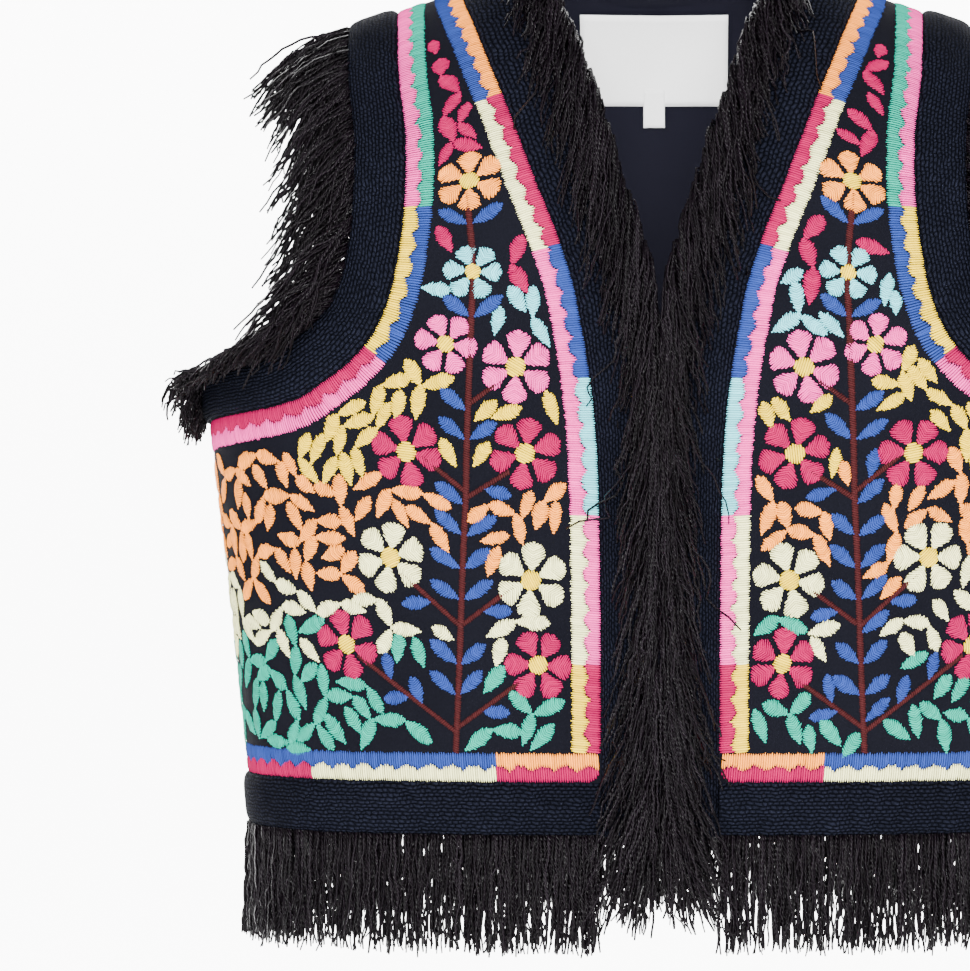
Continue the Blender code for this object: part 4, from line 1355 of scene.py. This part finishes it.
def makeFrontFringe(word, side):
    # Strands that hang from the edge over the band, wider apart low down, with a few stray ones.
    edge = makeCurve("frontEdge")
    count = fringe["frontStrands"]
    at = np.sort(dice.uniform(0.0005, edge[1][-1] - 0.001, count))
    spots = alongCurve(edge, at)
    t = strandPlaces[None, :]
    length = fringe["frontLength"] * dice.uniform(*fringe["frontReach"], (count, 1))
    low = (spots[:, 1:2] - hemRise).clip(0.0, 1.0)
    length = np.minimum(length, low + 0.0445 * dice.uniform(0.82, 1.02, (count, 1)))
    table = np.array(fringe["spreads"])
    scale = readTable(table, form["chestZ"] + spots[:, 1:2], 1)
    lock = np.sin(at / 0.0047)[:, None] * 0.25
    spread = (np.abs(dice.normal(0.0, 1.0, (count, 1))).clip(0.0, 1.9) + lock) * scale
    lean = readTable(np.array(fringe["leans"]), form["chestZ"] + spots[:, 1:2], 1) * dice.uniform(0.20, 1.05, (count, 1))
    sways = np.full(count, 0.0009)
    stray = dice.choice(count, fringe["strays"], replace=False)
    spread[stray, 0] = dice.uniform(*fringe["straySpread"], len(stray))
    sways[stray] = fringe["straySway"]
    layer = dice.uniform(*fringe["frontLayer"], (count, 1)) - np.abs(spread) * 0.10
    lift = liftOver(layer) - 0.0012 * t
    around = spots[:, :1] + (spread * t ** 0.75 - lean * np.minimum(t / 0.12, 1.0) ** 0.7) / quarterLength
    rise = np.minimum(spots[:, 1:2] - length * (t - 0.06 * np.sin(math.pi * np.minimum(t / 0.12, 1.0))), topRise)
    paths = offForm(around * side, rise, lift)
    makeStrands("fringeFront" + word, "fringe_front_" + word.lower(), paths, sways)


def makeNeckFringe():
    edge = neckCurve("neckEdgeBack")
    count = fringe["neckStrands"]
    at = np.sort(dice.uniform(0.0005, edge[1][-1] - 0.0005, count))
    spots = alongCurve(edge, at)
    t = strandPlaces[None, :]
    length = fringe["neckLength"] * dice.uniform(*fringe["neckReach"], (count, 1))
    spread = dice.normal(0.0, 0.003, (count, 1))
    lift = liftOver(dice.uniform(*fringe["neckLayer"], (count, 1)))
    around = spots[:, :1] + spread / quarterLength * t
    rise = np.minimum(spots[:, 1:2] - length * t, topRise)
    makeStrands("fringeNeck", "fringe_neck", offForm(around, rise, lift))


def makeArmholeFringe(word, side):
    # Strands that leave the edge outward and soon droop, the inner ones hanging closer to the band.
    edge = joinCurves(makeCurve("armholeEdgeFront", side), turnedCurve(makeCurve("armholeEdgeBack", side)))
    fall = np.array(fringe["armholeFall"])
    count = fringe["armholeStrands"]
    at = np.sort(dice.uniform(0.0, edge[1][-1], count))
    share = at / edge[1][-1] * 2
    share = np.where(share > 1, 2 - share, share)
    spots = alongCurve(edge, at)
    sideSlope, up = formSlopes(spots[:, 0], np.minimum(spots[:, 1], topRise - 0.001))
    normal = unit(np.cross(sideSlope, up))
    reach = dice.uniform(*fringe["armholeReach"], (count, 1))
    lock = 1 + 0.08 * np.sin(at / 0.0055)[:, None]
    inner = dice.uniform(0.0, 1.0, (count, 1)) ** 1.4
    fullOut = readTable(fall, share, 1)[:, None]
    inner *= np.interp(share, *fringe["inner"])[:, None]
    room = np.interp(share, *fringe["room"])[:, None]
    out = (fullOut * reach * lock * room * (1 - fringe["innerDraw"] * inner)).clip(0.0, fringe["farthestOut"])
    drop = readTable(fall, share, 2)[:, None] * reach + fullOut * 0.45 * inner
    drop = drop + dice.normal(0.0, 0.0025, (count, 1)).clip(-0.005, 0.004)
    lift = readTable(fall, share, 3)[:, None] * dice.uniform(0.15, 1.1, (count, 1))
    t = strandPlaces[None, :]
    root = formPoint(spots[:, 0], spots[:, 1]) + normal * dice.uniform(-0.0005, 0.0030, (count, 1))
    root[:, 0] -= side * dice.uniform(0.0, 0.0030, count)
    paths = np.repeat(root[:, None, :], len(strandPlaces), axis=1)
    paths += normal[:, None, :] * (lift * np.minimum(t * 1.8, 1.0) ** 0.8)[..., None]
    bow = np.interp(share, *fringe["bow"])[:, None]
    paths[..., 0] += side * out * t * (1 + bow - bow * t)
    paths[..., 2] -= drop * t ** (1.15 + 0.5 * bow)
    draw = gathered(at, fringe["armholeLock"], dice.uniform(0.1, 0.7, count))[:, None]
    tangent = formPoint(spots[:, 0] + 0.001, spots[:, 1]) - formPoint(spots[:, 0] - 0.001, spots[:, 1])
    paths += unit(tangent)[:, None, :] * (draw * t ** 1.5)[..., None] * 0.5
    makeStrands("fringeArmhole" + word, "fringe_armhole_" + word.lower(), paths, 0.0011)


# Labels inside the back neck, both without any wording

labels = {
    "width": 0.073,
    "top": -0.0115,
    "bottom": -0.0540,
    "wall": 0.0006,
    "offLining": 0.0010,
    "tagOff": 0.0009,
    "tagWidth": 0.011,
    "tagTop": -0.0460,
    "tagBottom": -0.0640,
    "offCentre": -0.003,
}


def makeLabel(name, node, width, top, bottom, off, columns, rows):
    spots = np.zeros((rows, columns, 2))
    for i in range(rows):
        height = bottom + (top - bottom) * i / (rows - 1)
        for k in range(columns):
            across = labels["offCentre"] + width * (k / (columns - 1) - 0.5)
            around, rise = spotAt(abs(across), height, True)
            spots[i, k] = (around if across >= 0 else 4 - around, rise)
    face = form["wall"] / 2 + panels["liningGap"] + panels["liningWall"]
    f = np.linspace(-1, 1, columns)[None, :]
    g = np.linspace(1, 0, rows)[:, None]
    curl = 0.0005 * np.abs(f) ** 3 * g ** 2 + 0.0002 * np.sin(f * 5 + 1) * g
    points = offForm(spots[..., 0], spots[..., 1], -(face + off + labels["wall"]) - curl)
    uvs = np.stack(np.broadcast_arrays(f * width / 2, -g * (top - bottom)), axis=-1)
    mesh = gridMesh(name, points, uvs)
    item = linkObject(name, mesh, materials["label"])
    addThickness(item, labels["wall"], offset=0.0)
    finishPiece(item, node)


def makeCamera():
    data = bpy.data.cameras.new("photoCamera")
    item = bpy.data.objects.new("photoCamera", data)
    bpy.context.scene.collection.objects.link(item)
    item.location = (0.0, -camera["distance"], camera["height"])
    item.rotation_euler = (math.pi / 2, 0.0, 0.0)
    reach = camera["distance"] + photo["frontDepth"]
    span = photo["width"] * photo["metresPerPixel"]
    data.sensor_width = camera["sensor"]
    data.lens = camera["sensor"] * reach / span
    data.shift_x = (photo["width"] / 2 - photo["centreColumn"]) / photo["width"]
    bpy.context.scene.camera = item
    print("camera ready")


# Studio: place, aim, size and power of each soft light
studio = {
    "world": 1.2,
    "floorZ": -1.0,
    "backY": 4.2,
    "curve": 1.4,
    "frontY": -4.5,
    "wallTop": 4.5,
    "floorGlow": 1.1,
    "wallGlow": 7.0,
    "glowFrom": 0.8,
    "glowTo": 2.8,
    "halfWidth": 5.0,
    "lights": (
        ("keyLight", (-1.5, -2.4, 1.3), (0.0, 0.0, -0.25), 1.4, 150.0),
        ("fillLight", (1.9, -2.1, 0.4), (0.0, 0.0, -0.25), 1.6, 80.0),
        ("frontLight", (0.1, -3.0, 0.1), (0.0, 0.0, -0.2), 1.0, 230.0),
    ),
}


def makeStudio():
    world = bpy.context.scene.world or bpy.data.worlds.new("studio")
    bpy.context.scene.world = world
    world.use_nodes = True
    sky = world.node_tree.nodes["Background"]
    sky.inputs["Color"].default_value = (1.0, 1.0, 1.0, 1.0)
    sky.inputs["Strength"].default_value = studio["world"]
    bend = np.linspace(0.0, math.pi / 2, 17)
    backY, floorZ, curve = studio["backY"], studio["floorZ"], studio["curve"]
    profile = [(studio["frontY"], floorZ)]
    profile += [(backY + curve * (math.sin(b) - 1), floorZ + curve * (1 - math.cos(b))) for b in bend]
    profile += [(backY, studio["wallTop"])]
    across = np.linspace(-studio["halfWidth"], studio["halfWidth"], 9)
    points = np.array([[(x, y, z) for x in across] for y, z in profile])
    mesh = gridMesh("backdrop", points, points[..., :2])
    material, nodeTree, shader = newMaterial("palePaper")
    place = addNode(nodeTree, "ShaderNodeTexCoord").outputs["Object"]
    tone = useGroup(nodeTree, toneGroup, {"Vector": place, "Broad": 0.8, "Fine": 90.0})
    nodeTree.links.new(tinted(nodeTree, colours["floor"], tone, 0.99, 1.01), shader.inputs["Base Color"])
    shader.inputs["Roughness"].default_value = 0.9
    shader.inputs["Emission Color"].default_value = (1.0, 1.0, 1.0, 1.0)
    parts = addNode(nodeTree, "ShaderNodeSeparateXYZ", {0: place})
    spread = {"From Min": studio["glowFrom"], "From Max": studio["glowTo"]}
    strength = {"To Min": studio["floorGlow"], "To Max": studio["wallGlow"]}
    glow = addNode(nodeTree, "ShaderNodeMapRange", {"Value": parts.outputs["Y"], **spread, **strength})
    nodeTree.links.new(glow.outputs[0], shader.inputs["Emission Strength"])
    backdrop = linkObject("backdrop", mesh, material)
    for name, place, aim, size, watts in studio["lights"]:
        data = bpy.data.lights.new(name, "AREA")
        data.shape = "DISK"
        data.size = size
        data.energy = watts
        lamp = bpy.data.objects.new(name, data)
        bpy.context.scene.collection.objects.link(lamp)
        lamp.location = place
        toward = np.array(aim) - np.array(place)
        flatReach = math.hypot(toward[0], toward[1])
        lamp.rotation_euler = (math.pi / 2 + math.atan2(toward[2], flatReach), 0.0, math.atan2(-toward[0], toward[1]))
    print("studio ready")


makeFrontPanel("frontRight", "front_right", -1)
makeFrontPanel("frontLeft", "front_left", 1)
makeBackPanel()
makeBackLining()
makeBands()
for word, side in (("Right", -1), ("Left", 1)):
    borderRun = newRun()
    frontBorders(borderRun, side)
    makeStitching("border" + word, borderRun)
    makeTree("embroidery" + word, side)
    makeFrontFringe(word, side)
    makeArmholeFringe(word, side)
backRun = newRun()
backBorders(backRun)
makeStitching("borderBack", backRun)
makeHemFringe()
makeNeckFringe()
makeLabel("neckLabel", "label", labels["width"], labels["top"], labels["bottom"], labels["offLining"], 25, 15)
tagOff = labels["offLining"] + labels["wall"] + labels["tagOff"]
makeLabel("sizeTag", "size_tag", labels["tagWidth"], labels["tagTop"], labels["tagBottom"], tagOff, 9, 11)
makeCamera()
makeStudio()
